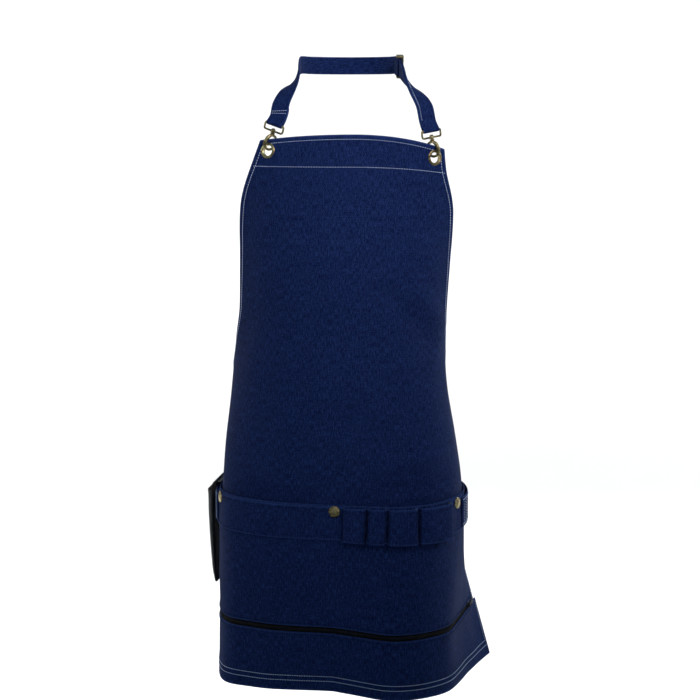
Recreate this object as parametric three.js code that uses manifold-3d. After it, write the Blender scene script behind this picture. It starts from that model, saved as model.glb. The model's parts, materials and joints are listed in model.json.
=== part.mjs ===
// A denim bib apron with a tool band, modelled as it hangs on a wearer.
// Millimetres, +Z up, the wearer faces -Y, +X is the wearer's left.
// The origin is on the centre line, level with the top of the neck strap at the nape.
import * as THREE from 'three';
import { mergeVertices } from 'three/addons/utils/BufferGeometryUtils.js';
import Module from 'manifold-3d';

const wasm = await Module();
wasm.setup();

// ---- Driving dimensions ----------------------------------------------------------

const CLOTH = 1.2;          // denim thickness
const GAP = 0.4;            // clearance between touching layers
const BIB_TOP = -108;       // height of the bib's top edge on the centre line
const BIB_DIP = [8, 20];    // how far the top edge falls to its right and left corners
const HEM = -868;           // height of the hem on the centre line
const FACING = 40;          // depth of the facing inside the bib
const FACING_INSET = 3;     // facing's edges inside the apron's own edges
const EDGE = 345;           // half width of the skirt along the cloth

const BAND_TOP = -611;      // tool band and waist straps
const BAND_HIGH = 45;
const BAND_END = 214;       // half length of the tool band
const POCKET_TOP = -609;
const POCKET_HALF = 305;    // half width of the pocket and the zip
const FRONT_LIES = CLOTH + 2.2;     // inner face of the front layers, clear of the zip's tapes

// The band lies flat over the right hip and makes four tool loops on the left half.
const LOOPS = [
  { from: 12, to: 42, high: 11 },
  { from: 44, to: 68, high: 11 },
  { from: 70, to: 106, high: 13 },
  { from: 108, to: 160, high: 13 },
];

const STUD_SIDE = [-188, 0, 182];
const STUD_DOWN = 6;        // stud centres below the band's top edge
const STUD_POST = 1.8;      // radius of a stud's post
const STUD_CAP = 8;         // radius of a stud's cap

const EYELET_SIDE = [-117.5, 118.5];
const EYELET_DEEP = [15, 14.5];     // eyelet centre below the top edge
const EYELET_HOLE = 7.2;
const EYELET_RIM = 10.8;

const WIRE = 1.8;               // hook wire radius
const BOW_HALF = 8;             // half width of the hook's bow at the wire's centre
const BOW_UP = 19;              // from the bow's lowest wire centre to the swivel collar
const HOOK_BACK = 0.5;          // the bow's lowest point lies this far behind the cloth's inner face
const HOOK_DROP = EYELET_HOLE - WIRE - 3.8;   // lowest wire centre above the eyelet's centre
const HOOK_LEAN = [17, -9];     // degrees that each hook and its ring lean towards the neck
const HOOK_TWIST = [-28, 28];   // degrees that each hook is swivelled from its ring at rest
const COLLAR = 4.5;
const PIN_UP = BOW_UP - 4.2;    // gate pin above the lowest wire centre
const RING_HALF = [14.8, 5];    // half sizes of the strap ring at the wire's centre
const RING_CORNER = 2.6;
const RING_WIRE = 1.4;
const RING_BOSS = 4;            // height of the boss that the swivel post passes through
const BOSS_FOOT = BOW_UP + COLLAR + GAP;
const RING_MIDDLE = BOSS_FOOT + RING_BOSS / 2 + RING_HALF[1];

const STRAP_WIDE = 24;
const STRAP_THICK = 1.8;
const STRAP_RISE = [0, 0.5, 0.86];  // the strap leaves each ring back and up
// Spots on each side's run over the shoulder, the right side's x taken as positive too.
const SHOULDER = [
  [[93, -62, -66], [85, -44, -49], [75, -16, -33], [71, 14, -19]],
  [[101, -62, -69], [92, -43, -52], [79, -15, -34], [72, 15, -19]],
];
const NECK_RADIUS = 73;
const NECK_Y = 25;              // the neck's axis lies this far behind the origin
const NECK_STEPS = 60;
const FOLD = RING_WIRE + 0.3 + STRAP_THICK / 2;   // radius of the strap's fold round a ring
const RETURN_GAP = STRAP_THICK + 0.5;             // between the strap and its turned-back end
const RETURN_SHORT = 26;                          // turned-back end at the fixed ring
const SLIDER_AT = 158;          // the slider's place along the strap from its ring
const SLIDER_BAR = 1.2;         // radius of the slider's bars
const STUB_LONG = 20;           // strap end stitched down behind the slider's bar

const BELT_START = 200;         // each waist strap laps over the tool band's end
const BELT_LIES = [[200, 8.2], [240, 9]];   // how far the straps' middle stands off the apron
const BELT_BACK_Y = 156;        // the straps' place at the middle of the back
// The straps' run from a skirt edge: part of the edge's x, part of the way to the back.
const BELT_TURNS = [[0.78, 0.55], [0.55, 0.92], [0.36, 1], [0.1, 1]];
const BELT_LAP = 38;            // each strap ends this far past the middle of the back
const BELT_THICK = 1.8;
const BELT_Z = BAND_TOP - BAND_HIGH / 2;
const SNAP_AT = [-20, 20];
const SNAP_POST = 1.9;          // radius of a press stud's post

const ZIP = -783;               // height of the zip's centre line
const ZIP_SHOWS = 9.6;          // black strip left open between the two denim edges
const ZIP_TAPE = 12;            // from the centre line to a tape's outer edge
const ZIP_END = 300;
const COIL = 2.8;
const COIL_SHORT = 16;          // the coil stops this far before the zip's ends
const ZIP_LIES = CLOTH + 0.9;   // inner face of the tapes above the apron
const ZIP_SLIDER_AT = 291;
const TUNNEL_PLAY = 0.9;        // room above and below the coil inside the slider

const POUCH_AT = -268;          // its place along the cloth
const POUCH = { wide: 74, high: 150, deep: 7.6, wall: 1.6, top: BAND_TOP + 4 };
const HANGER = { wide: 38, wall: 1.4, slack: 1.1 };   // the loop that rides on the waist strap

// ---- The worn form ----------------------------------------------------------------
// At each level the cloth's plan starts on the centre line. TURN gives how far it has
// turned from facing front, in degrees, at each of STATIONS along the cloth.

const STATIONS = [-345, -240, -190, -140, 0, 60, 100, 150, 215, 345];
const TURN = [
  [-870, [-96, -92, -80, -24, -20, -16, 22, 40, 70, 62]],
  [-783, [-96, -92, -76, -30, -20, -16, 22, 42, 76, 76]],
  [-617, [-104, -94, -72, -38, -10, 4, 16, 42, 77, 112]],
  [-400, [-100, -92, -76, -50, -4, 14, 32, 58, 90, 98]],
  [-100, [-82, -56, -46, -34, 0, 14, 24, 36, 50, 82]],
];
const CENTRE_X = [[-880, -22], [-611, -20], [-400, -13], [-300, -8], [-220, -5], [-160, -2], [-108, 5]];
const CENTRE_Y = [[-880, -124], [-775, -119], [-611, -112], [-400, -112], [-300, -118], [-200, -112],
  [-108, -100]];
const HALF_WIDTH = [[-520, EDGE], [-508, 335], [-478, 300], [-438, 245], [-388, 197], [-338, 176],
  [-268, 170], [-198, 163], [-138, 141], [-108, 132]];
const HEM_SAG = [[0, 0], [120, 8], [190, 9], [230, 8], [345, 2]];   // extra drop of the hem by |u|
const PLAN_STEP = 5;

/** Smooth value at x through rising (x, value) knots, with no overshoot. */
function along(x, knots) {
  const last = knots.length - 1;
  if (x <= knots[0][0]) return knots[0][1];
  if (x >= knots[last][0]) return knots[last][1];
  const rise = (k) => (knots[k + 1][1] - knots[k][1]) / (knots[k + 1][0] - knots[k][0]);
  const slope = (k) => {
    if (k === 0) return rise(0);
    if (k === last) return rise(last - 1);
    const [before, after] = [rise(k - 1), rise(k)];
    return before * after <= 0 ? 0 : (2 * before * after) / (before + after);
  };
  const k = knots.findIndex((knot) => x < knot[0]) - 1;
  const span = knots[k + 1][0] - knots[k][0];
  const t = (x - knots[k][0]) / span;
  return (2 * t ** 3 - 3 * t ** 2 + 1) * knots[k][1] + (t ** 3 - 2 * t ** 2 + t) * span * slope(k)
    + (3 * t ** 2 - 2 * t ** 3) * knots[k + 1][1] + (t ** 3 - t ** 2) * span * slope(k + 1);
}

/** Heading of the cloth in radians, u along the cloth from the centre line, at height z. */
function heading(u, z) {
  const column = TURN.map(([level, turns]) => [level, along(u, STATIONS.map((s, i) => [s, turns[i]]))]);
  return THREE.MathUtils.degToRad(along(z, column));
}

const plans = new Map();

/** The plan curve at height z: its points every PLAN_STEP along the cloth. */
function plan(z) {
  const key = z.toFixed(1);
  if (plans.has(key)) return plans.get(key);
  const start = { x: along(z, CENTRE_X), y: along(z, CENTRE_Y) };
  const points = new Map([[0, start]]);
  for (const way of [-1, 1]) {
    let { x, y } = start;
    for (let u = PLAN_STEP; u <= EDGE + 5 * PLAN_STEP; u += PLAN_STEP) {
      const turn = heading(way * (u - PLAN_STEP / 2), z);
      x += way * PLAN_STEP * Math.cos(turn);
      y += way * PLAN_STEP * Math.sin(turn);
      points.set(way * u, { x, y });
    }
  }
  plans.set(key, points);
  return points;
}

/** The place on the cloth at (u, z), standing out from its inner face by out. */
function onForm(u, z, out = 0) {
  const points = plan(z);
  const low = Math.floor(u / PLAN_STEP) * PLAN_STEP;
  const part = (u - low) / PLAN_STEP;
  const [a, b] = [points.get(low), points.get(part > 0 ? low + PLAN_STEP : low)];
  const turn = heading(u, z);
  const below = THREE.MathUtils.clamp((BAND_TOP - z) / (BAND_TOP - HEM), 0, 1);
  const sag = below * along(Math.abs(u), HEM_SAG);
  return new THREE.Vector3(
    a.x + part * (b.x - a.x) + out * Math.sin(turn),
    a.y + part * (b.y - a.y) - out * Math.cos(turn),
    z - sag,
  );
}

const bibEdge = (u) => BIB_TOP - BIB_DIP[u < 0 ? 0 : 1] * Math.min(1, (u / 132) ** 2);

// ---- Shared makers ------------------------------------------------------------------

const apron = new THREE.Group();

const finishes = {
  denim: { color: 0x14204f, roughness: 0.95, metalness: 0 },
  brass: { color: 0x7d6a45, roughness: 0.4, metalness: 1 },
  zip: { color: 0x0c0c10, roughness: 0.7, metalness: 0 },
  pouch: { color: 0x0e0e12, roughness: 0.8, metalness: 0 },
};

/** Adds one named piece to the apron, or to a group on it. */
function addPiece(name, geometry, finish, parent = apron) {
  const mesh = new THREE.Mesh(geometry, new THREE.MeshStandardMaterial(finishes[finish]));
  mesh.name = name;
  parent.add(mesh);
  return mesh;
}

/** A closed slab: place(a, b, side) gives each corner, a across, b down, side 0 inner, 1 outer. */
function slab(across, down, place) {
  const geometry = new THREE.BoxGeometry(1, 1, 1, across, down, 1);
  const corners = geometry.attributes.position;
  for (let i = 0; i < corners.count; i += 1) {
    const side = corners.getZ(i) > 0 ? 1 : 0;
    const spot = place(corners.getX(i) + 0.5, 0.5 - corners.getY(i), side);
    corners.setXYZ(i, spot.x, spot.y, spot.z);
  }
  return geometry;
}

/** A ribbon through frames of { spot, wide, out }, centred on them. */
function ribbon(frames, width, thick) {
  return slab(1, frames.length - 1, (a, b, side) => {
    const { spot, wide, out } = frames[Math.round(b * (frames.length - 1))];
    return spot.clone().addScaledVector(wide, (0.5 - a) * width).addScaledVector(out, (side - 0.5) * thick);
  });
}

/** Frames along points, with the ribbon's width held as near to the given directions as it can be. */
function framesAlong(spots, wides) {
  return spots.map((spot, i) => {
    const before = spots[Math.max(i - 1, 0)];
    const after = spots[Math.min(i + 1, spots.length - 1)];
    const ahead = after.clone().sub(before).normalize();
    const wide = wides[i].clone().addScaledVector(ahead, -wides[i].dot(ahead)).normalize();
    return { spot, wide, out: wide.clone().cross(ahead).normalize() };
  });
}

/** A round wire along a curve. */
function wire(curve, radius, steps, sides = 8) {
  const geometry = new THREE.CylinderGeometry(1, 1, 1, sides, steps);
  const frames = curve.computeFrenetFrames(steps, false);
  const corners = geometry.attributes.position;
  for (let i = 0; i < corners.count; i += 1) {
    const step = Math.round((corners.getY(i) + 0.5) * steps);
    const spot = curve.getPointAt(step / steps);
    const across = frames.normals[step].clone().cross(frames.tangents[step]);
    spot.addScaledVector(frames.normals[step], corners.getX(i) * radius);
    spot.addScaledVector(across, corners.getZ(i) * radius);
    corners.setXYZ(i, spot.x, spot.y, spot.z);
  }
  return geometry;
}

/** A turned piece whose axis is local Y, from (radius, along) pairs. */
function turned(profile, sides = 12) {
  return new THREE.LatheGeometry(profile.map(([r, y]) => new THREE.Vector2(r, y)), sides);
}

/** A geometry as a manifold solid. */
function solid(geometry) {
  const bare = new THREE.BufferGeometry();
  bare.setAttribute('position', geometry.attributes.position.clone());
  if (geometry.index) bare.setIndex(geometry.index.clone());
  const merged = mergeVertices(bare, 1e-4);
  return new wasm.Manifold(new wasm.Mesh({
    numProp: 3,
    vertProperties: new Float32Array(merged.attributes.position.array),
    triVerts: new Uint32Array(merged.index.array),
  }));
}

/** A manifold solid as a geometry. */
function fromSolid(shape) {
  const mesh = shape.getMesh();
  const geometry = new THREE.BufferGeometry();
  geometry.setAttribute('position', new THREE.BufferAttribute(new Float32Array(mesh.vertProperties), 3));
  geometry.setIndex(new THREE.BufferAttribute(new Uint32Array(mesh.triVerts), 1));
  geometry.computeVertexNormals();
  return geometry;
}

/** A group on the cloth at (u, z): local X along the cloth, -Y straight out of it, Z up it. */
function onCloth(u, z, out = 0) {
  const spot = onForm(u, z, out);
  const across = onForm(u + 4, z, out).sub(onForm(u - 4, z, out)).normalize();
  const up = onForm(u, z + 4, out).sub(onForm(u, z - 4, out)).normalize();
  const inward = up.clone().cross(across).normalize();
  const group = new THREE.Group();
  group.matrixAutoUpdate = false;
  group.matrix.makeBasis(across, inward, across.clone().cross(inward)).setPosition(spot);
  apron.add(group);
  return group;
}

/** Rods straight through the cloth, to be cut away, one at each (u, z). */
function rods(holes) {
  return holes.map(({ u, z, radius }) => {
    const geometry = new THREE.CylinderGeometry(radius, radius, 60, 20);
    const place = onCloth(u, z);
    apron.remove(place);
    return solid(geometry.applyMatrix4(place.matrix));
  });
}

/** A geometry with every tool cut out of it. */
function cutAll(geometry, tools) {
  return fromSolid(tools.reduce((left, tool) => left.subtract(tool), solid(geometry)));
}

// ---- Denim ---------------------------------------------------------------------------

const eyelets = EYELET_SIDE.map((u, i) => ({ u, z: bibEdge(u) - EYELET_DEEP[i] }));
const studs = STUD_SIDE.map((u) => ({ u, z: BAND_TOP - STUD_DOWN }));
const eyeletRods = rods(eyelets.map((spot) => ({ ...spot, radius: EYELET_HOLE + 1 })));
const studRods = rods(studs.map((spot) => ({ ...spot, radius: STUD_POST + GAP })));

function apronPanel() {
  const rows = 18;
  const panel = slab(44, rows, (a, b, side) => {
    const rough = THREE.MathUtils.lerp(BIB_TOP, HEM, b);
    const u = (2 * a - 1) * along(rough, HALF_WIDTH);
    const z = THREE.MathUtils.lerp(bibEdge(u), HEM, b);
    return onForm(u, z, side * CLOTH);
  });
  addPiece('apron_panel', cutAll(panel, [...eyeletRods, ...studRods]), 'denim');
}

function bibFacing() {
  const facing = slab(22, 2, (a, b, side) => {
    const down = FACING_INSET + b * FACING;
    const u = (2 * a - 1) * (along(BIB_TOP - down, HALF_WIDTH) - FACING_INSET);
    return onForm(u, bibEdge(u) - down, -1.5 * GAP - (1 - side) * CLOTH);
  });
  addPiece('bib_facing', cutAll(facing, eyeletRods), 'denim');
}

/** How far the pocket's front stands off the apron: it gapes between the studs. */
function pocketStandOff(u, z) {
  const gapes = [[-188, 0], [-95, 6], [0, 0], [92, 13], [182, 0]];
  const depth = THREE.MathUtils.clamp((POCKET_TOP - z) / (POCKET_TOP - ZIP), 0, 1);
  return FRONT_LIES + along(u, gapes) * (1 - depth ** 2);
}

function pocketPanel() {
  const bottom = ZIP + ZIP_SHOWS / 2;
  const panel = slab(44, 4, (a, b, side) => {
    const u = (2 * a - 1) * POCKET_HALF;
    const z = THREE.MathUtils.lerp(POCKET_TOP, bottom, b);
    return onForm(u, z, pocketStandOff(u, z) + side * CLOTH);
  });
  addPiece('pocket_panel', cutAll(panel, studRods), 'denim');
}

function hemPanel() {
  const panel = slab(44, 2, (a, b, side) => {
    const u = (2 * a - 1) * (EDGE - 1);
    const z = THREE.MathUtils.lerp(ZIP - ZIP_SHOWS / 2, HEM + 1, b);
    return onForm(u, z, FRONT_LIES + side * CLOTH);
  });
  addPiece('hem_panel', panel, 'denim');
}

function bandStandOff(u) {
  const loop = LOOPS.find(({ from, to }) => u > from && u < to);
  const flat = pocketStandOff(u, BAND_TOP) + CLOTH + 3 * GAP;
  if (!loop) return flat;
  const part = (u - loop.from) / (loop.to - loop.from);
  return flat + loop.high * Math.min(1, 5 * part, 5 * (1 - part)) ** 0.6;
}

function toolBand() {
  const bends = LOOPS.flatMap(({ from, to }) => {
    const wide = to - from;
    return [0.001, 0.04, 0.1, 0.2, 0.8, 0.9, 0.96, 0.999].map((part) => from + part * wide);
  });
  const flats = [-BAND_END, -196, -182, -165, -148, -130, -112, -95, -78, -60, -45, -30, -15, 0, 170, 178,
    186, BAND_END];
  const spots = [...flats, ...bends].sort((a, b) => a - b);
  const band = slab(spots.length - 1, 2, (a, b, side) => {
    const u = spots[Math.round(a * (spots.length - 1))];
    const here = onForm(u, BAND_TOP - b * BAND_HIGH, bandStandOff(u));
    const before = onForm(u - 0.5, BAND_TOP, bandStandOff(u - 0.5));
    const after = onForm(u + 0.5, BAND_TOP, bandStandOff(u + 0.5));
    const ahead = after.sub(before).setZ(0).normalize();
    return here.add(new THREE.Vector3(ahead.y, -ahead.x, 0).multiplyScalar(side * CLOTH));
  });
  addPiece('tool_band', cutAll(band, studRods), 'denim');
}

// ---- Waist straps and their press studs ------------------------------------------------

function waistStrap(side) {
  const spots = [];
  for (let u = BELT_START; u <= EDGE; u += 10) {
    spots.push(onForm(side * u, BELT_Z, along(u, BELT_LIES)).setZ(BELT_Z));
  }
  const over = side > 0 ? BELT_THICK + 2 * GAP : 0;
  const edge = spots.at(-1);
  for (const [across, back] of BELT_TURNS) {
    const y = THREE.MathUtils.lerp(edge.y, BELT_BACK_Y + over, back);
    spots.push(new THREE.Vector3(edge.x * across, y, BELT_Z));
  }
  spots.push(new THREE.Vector3(-side * BELT_LAP, BELT_BACK_Y + over, BELT_Z));
  const run = new THREE.CatmullRomCurve3(spots, false, 'centripetal').getSpacedPoints(34);
  const frames = framesAlong(run, run.map(() => new THREE.Vector3(0, 0, 1)));
  const strap = ribbon(frames, BAND_HIGH - 2, BELT_THICK);
  const holes = SNAP_AT.map((x) => solid(new THREE.CylinderGeometry(SNAP_POST + 0.3, SNAP_POST + 0.3, 20, 16)
    .translate(x, BELT_BACK_Y, BELT_Z)));
  addPiece(side < 0 ? 'waist_strap_right' : 'waist_strap_left', cutAll(strap, holes), 'denim');
}

function closureSnaps() {
  const y = BELT_BACK_Y;
  const inner = y - BELT_THICK / 2 - GAP;
  const between = y + BELT_THICK / 2 + 0.2;
  const outer = y + BELT_THICK * 1.5 + 2 * GAP + GAP;
  SNAP_AT.forEach((x, i) => {
    const base = turned([[0, inner - 1.6], [5, inner - 1.4], [6.5, inner], [SNAP_POST, inner],
      [SNAP_POST, between], [0, between]]);
    const cap = turned([[0, between + 0.3], [SNAP_POST, between + 0.3], [SNAP_POST, outer],
      [STUD_CAP - 0.5, outer], [6.2, outer + 1.6], [0, outer + 2.4]]);
    addPiece(`closure_stud_${i + 1}`, base.translate(x, 0, BELT_Z), 'brass');
    addPiece(`closure_cap_${i + 1}`, cap.translate(x, 0, BELT_Z), 'brass');
  });
}

// ---- Band studs and bib eyelets -----------------------------------------------------------

const STUD_NAMES = ['right', 'centre', 'left'];

function bandStuds() {
  studs.forEach(({ u, z }, i) => {
    const place = onCloth(u, z);
    const front = bandStandOff(u) + CLOTH + 2 * GAP;
    const post = 3 * GAP + 1.6;
    const cap = turned([[0, post], [STUD_POST, post], [STUD_POST, -front], [STUD_CAP, -front],
      [STUD_CAP - 0.6, -front - 1.4], [5, -front - 2.2], [0, -front - 2.5]].reverse());
    const seat = 3 * GAP;
    const bore = STUD_POST + GAP;
    const back = turned([[bore, seat], [6.5, seat], [6.2, seat + 1], [bore, seat + 1], [bore, seat]]);
    const name = STUD_NAMES[i];
    addPiece(`stud_cap_${name}`, cap, 'brass', place);
    addPiece(`stud_washer_${name}`, back, 'brass', place);
  });
}

const SIDES = ['right', 'left'];

function bibEyelets() {
  eyelets.forEach(({ u, z }, i) => {
    const place = onCloth(u, z);
    const front = -CLOTH - 0.3;
    const back = 2 * GAP + CLOTH + 0.6;
    const barrel = EYELET_HOLE + 0.7;
    const ring = turned([[EYELET_HOLE, front - 0.6], [EYELET_HOLE + 1, front - 1],
      [EYELET_RIM - 1, front - 0.8], [EYELET_RIM, front], [barrel, front], [barrel, back + 0.8],
      [EYELET_HOLE, back + 0.8], [EYELET_HOLE, front - 0.6]], 18);
    const washer = turned([[barrel + 0.4, back], [EYELET_RIM, back], [EYELET_RIM - 0.5, back + 0.8],
      [barrel + 0.4, back + 0.8], [barrel + 0.4, back]], 18);
    addPiece(`eyelet_${SIDES[i]}`, ring, 'brass', place);
    addPiece(`eyelet_washer_${SIDES[i]}`, washer, 'brass', place);
  });
}

// ---- Swivel snap hooks, modelled upright about their swivel axis ---------------------------

function hookPlace(i) {
  const { u, z } = eyelets[i];
  const spot = onForm(u, z, -HOOK_BACK);
  const group = new THREE.Group();
  group.position.set(spot.x, spot.y, z + HOOK_DROP);
  group.rotation.set(0, THREE.MathUtils.degToRad(HOOK_LEAN[i]), heading(u, z), 'ZYX');
  group.updateMatrix();
  apron.add(group);
  return group;
}

/** The strap ring: a round wire bent to a rectangle with round corners. */
function ringTube() {
  const [x, z] = RING_HALF;
  const outline = new THREE.Shape();
  outline.absarc(x - RING_CORNER, z - RING_CORNER, RING_CORNER, 0, Math.PI / 2);
  outline.absarc(RING_CORNER - x, z - RING_CORNER, RING_CORNER, Math.PI / 2, Math.PI);
  outline.absarc(RING_CORNER - x, RING_CORNER - z, RING_CORNER, Math.PI, 1.5 * Math.PI);
  outline.absarc(x - RING_CORNER, RING_CORNER - z, RING_CORNER, 1.5 * Math.PI, 2 * Math.PI);
  outline.closePath();
  const spots = outline.getSpacedPoints(36).slice(0, -1).map((p) => new THREE.Vector3(p.x, 0, p.y));
  return new THREE.TubeGeometry(new THREE.CatmullRomCurve3(spots, true), 36, RING_WIRE, 8, true);
}

function snapHook(i) {
  const place = hookPlace(i);
  const swivel = new THREE.Group();
  swivel.rotation.z = THREE.MathUtils.degToRad(HOOK_TWIST[i]);
  place.add(swivel);
  const name = SIDES[i];
  const arc = (from, to, steps, round, rise) => Array.from({ length: steps + 1 }, (_, k) => {
    const angle = from + ((to - from) * k) / steps;
    return new THREE.Vector3(0, -round * Math.cos(angle), rise + round * Math.sin(angle));
  });
  // From the collar down the front leg, round the bottom and a little way up the back.
  const bow = new THREE.CatmullRomCurve3([
    new THREE.Vector3(0, -1.5, BOW_UP + 1), new THREE.Vector3(0, -5.6, BOW_UP - 2.6),
    ...arc(0, -Math.PI, 8, BOW_HALF, BOW_HALF), new THREE.Vector3(0, BOW_HALF, BOW_HALF + 0.6)]);
  const neck = new THREE.CatmullRomCurve3([
    new THREE.Vector3(0, 1.5, BOW_UP + 1), new THREE.Vector3(0, 3.6, BOW_UP + 0.3),
    new THREE.Vector3(0, 5.6, BOW_UP - 0.9)]);
  const collar = new THREE.CylinderGeometry(3.2, 3.6, COLLAR, 14).rotateX(Math.PI / 2)
    .translate(0, 0, BOW_UP + COLLAR / 2);
  const bore = new THREE.CylinderGeometry(1.7, 1.7, 3, 12).rotateX(Math.PI / 2)
    .translate(0, 0, BOW_UP + COLLAR);
  const body = solid(wire(bow, WIRE, 18)).add(solid(collar)).add(solid(wire(neck, WIRE, 4)));
  addPiece(`hook_body_${name}`, fromSolid(body.subtract(solid(bore))), 'brass', swivel);

  const postFoot = BOW_UP + COLLAR - 1.2;
  const bossTop = BOSS_FOOT + RING_BOSS;
  const post = turned([[0, postFoot], [1.4, postFoot], [1.4, bossTop + 0.3], [2.6, bossTop + 0.3],
    [2.2, bossTop + 1.4], [0, bossTop + 1.8]], 12).rotateX(Math.PI / 2);
  addPiece(`hook_post_${name}`, post, 'brass', swivel);

  const oval = ringTube().translate(0, 0, RING_MIDDLE);
  const boss = new THREE.CylinderGeometry(3.2, 3.2, RING_BOSS, 14).rotateX(Math.PI / 2)
    .translate(0, 0, bossTop - RING_BOSS / 2);
  const hole = new THREE.CylinderGeometry(1.75, 1.75, 3 * RING_BOSS, 12).rotateX(Math.PI / 2)
    .translate(0, 0, bossTop - RING_BOSS / 2);
  const ring = solid(oval).add(solid(boss)).subtract(solid(hole));
  addPiece(`strap_ring_${name}`, fromSolid(ring), 'brass', place);

  const gateTip = BOW_HALF + 0.6 + WIRE + 0.5;
  const gate = new THREE.CylinderGeometry(1.3, 1.3, PIN_UP - gateTip, 10).rotateX(Math.PI / 2)
    .translate(0, BOW_HALF, (PIN_UP + gateTip) / 2);
  const eye = new THREE.CylinderGeometry(1.7, 1.7, 2.4, 12).rotateZ(Math.PI / 2)
    .translate(0, BOW_HALF, PIN_UP);
  const eyeHole = new THREE.CylinderGeometry(0.8, 0.8, 6, 10).rotateZ(Math.PI / 2)
    .translate(0, BOW_HALF, PIN_UP);
  const leaf = solid(gate).add(solid(eye)).subtract(solid(eyeHole));
  addPiece(`hook_gate_${name}`, fromSolid(leaf), 'brass', swivel);
  const pin = new THREE.CylinderGeometry(0.55, 0.55, 5, 8).rotateZ(Math.PI / 2)
    .translate(0, BOW_HALF, PIN_UP);
  addPiece(`gate_pin_${name}`, pin, 'brass', swivel);
  return place;
}

// ---- Neck strap, folded round both rings, and its slider -------------------------------------

/** One side of the strap's run: its ring bar, directions there, and spots up to the nape. */
function strapSide(place, way, shoulder) {
  const level = new THREE.Vector3(1, 0, 0).transformDirection(place.matrix);
  const rise = new THREE.Vector3(...STRAP_RISE).transformDirection(place.matrix);
  const out = level.clone().cross(rise).normalize();
  const bar = new THREE.Vector3(0, 0, RING_MIDDLE + RING_HALF[1]).applyMatrix4(place.matrix);
  const first = bar.clone().addScaledVector(out, FOLD);
  const spots = [first, first.clone().addScaledVector(rise, 12)];
  for (const [x, y, z] of shoulder) spots.push(new THREE.Vector3(way * x, y, z));
  for (let turn = 20; turn <= 80; turn += 20) {
    const angle = THREE.MathUtils.degToRad(turn);
    spots.push(new THREE.Vector3(way * NECK_RADIUS * Math.cos(angle),
      NECK_Y + NECK_RADIUS * Math.sin(angle), -STRAP_WIDE / 2));
  }
  return { bar, level: level.multiplyScalar(-way), rise, out, spots };
}

/** The strap turned back on its inner side at a frame of its run. */
function turnedBack(frame, spread) {
  const spot = frame.spot.clone().addScaledVector(frame.out, -spread);
  return { spot, wide: frame.wide, out: frame.out.clone().negate() };
}

/** Half a turn of strap round a bar, from its outer side to its inner side. */
function foldRound({ bar, level, rise, out }, radius) {
  return Array.from({ length: 7 }, (_, k) => {
    const angle = (Math.PI * (k + 0.5)) / 7;
    const away = out.clone().multiplyScalar(Math.cos(angle)).addScaledVector(rise, -Math.sin(angle));
    return { spot: bar.clone().addScaledVector(away, radius), wide: level, out: away };
  });
}

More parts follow.
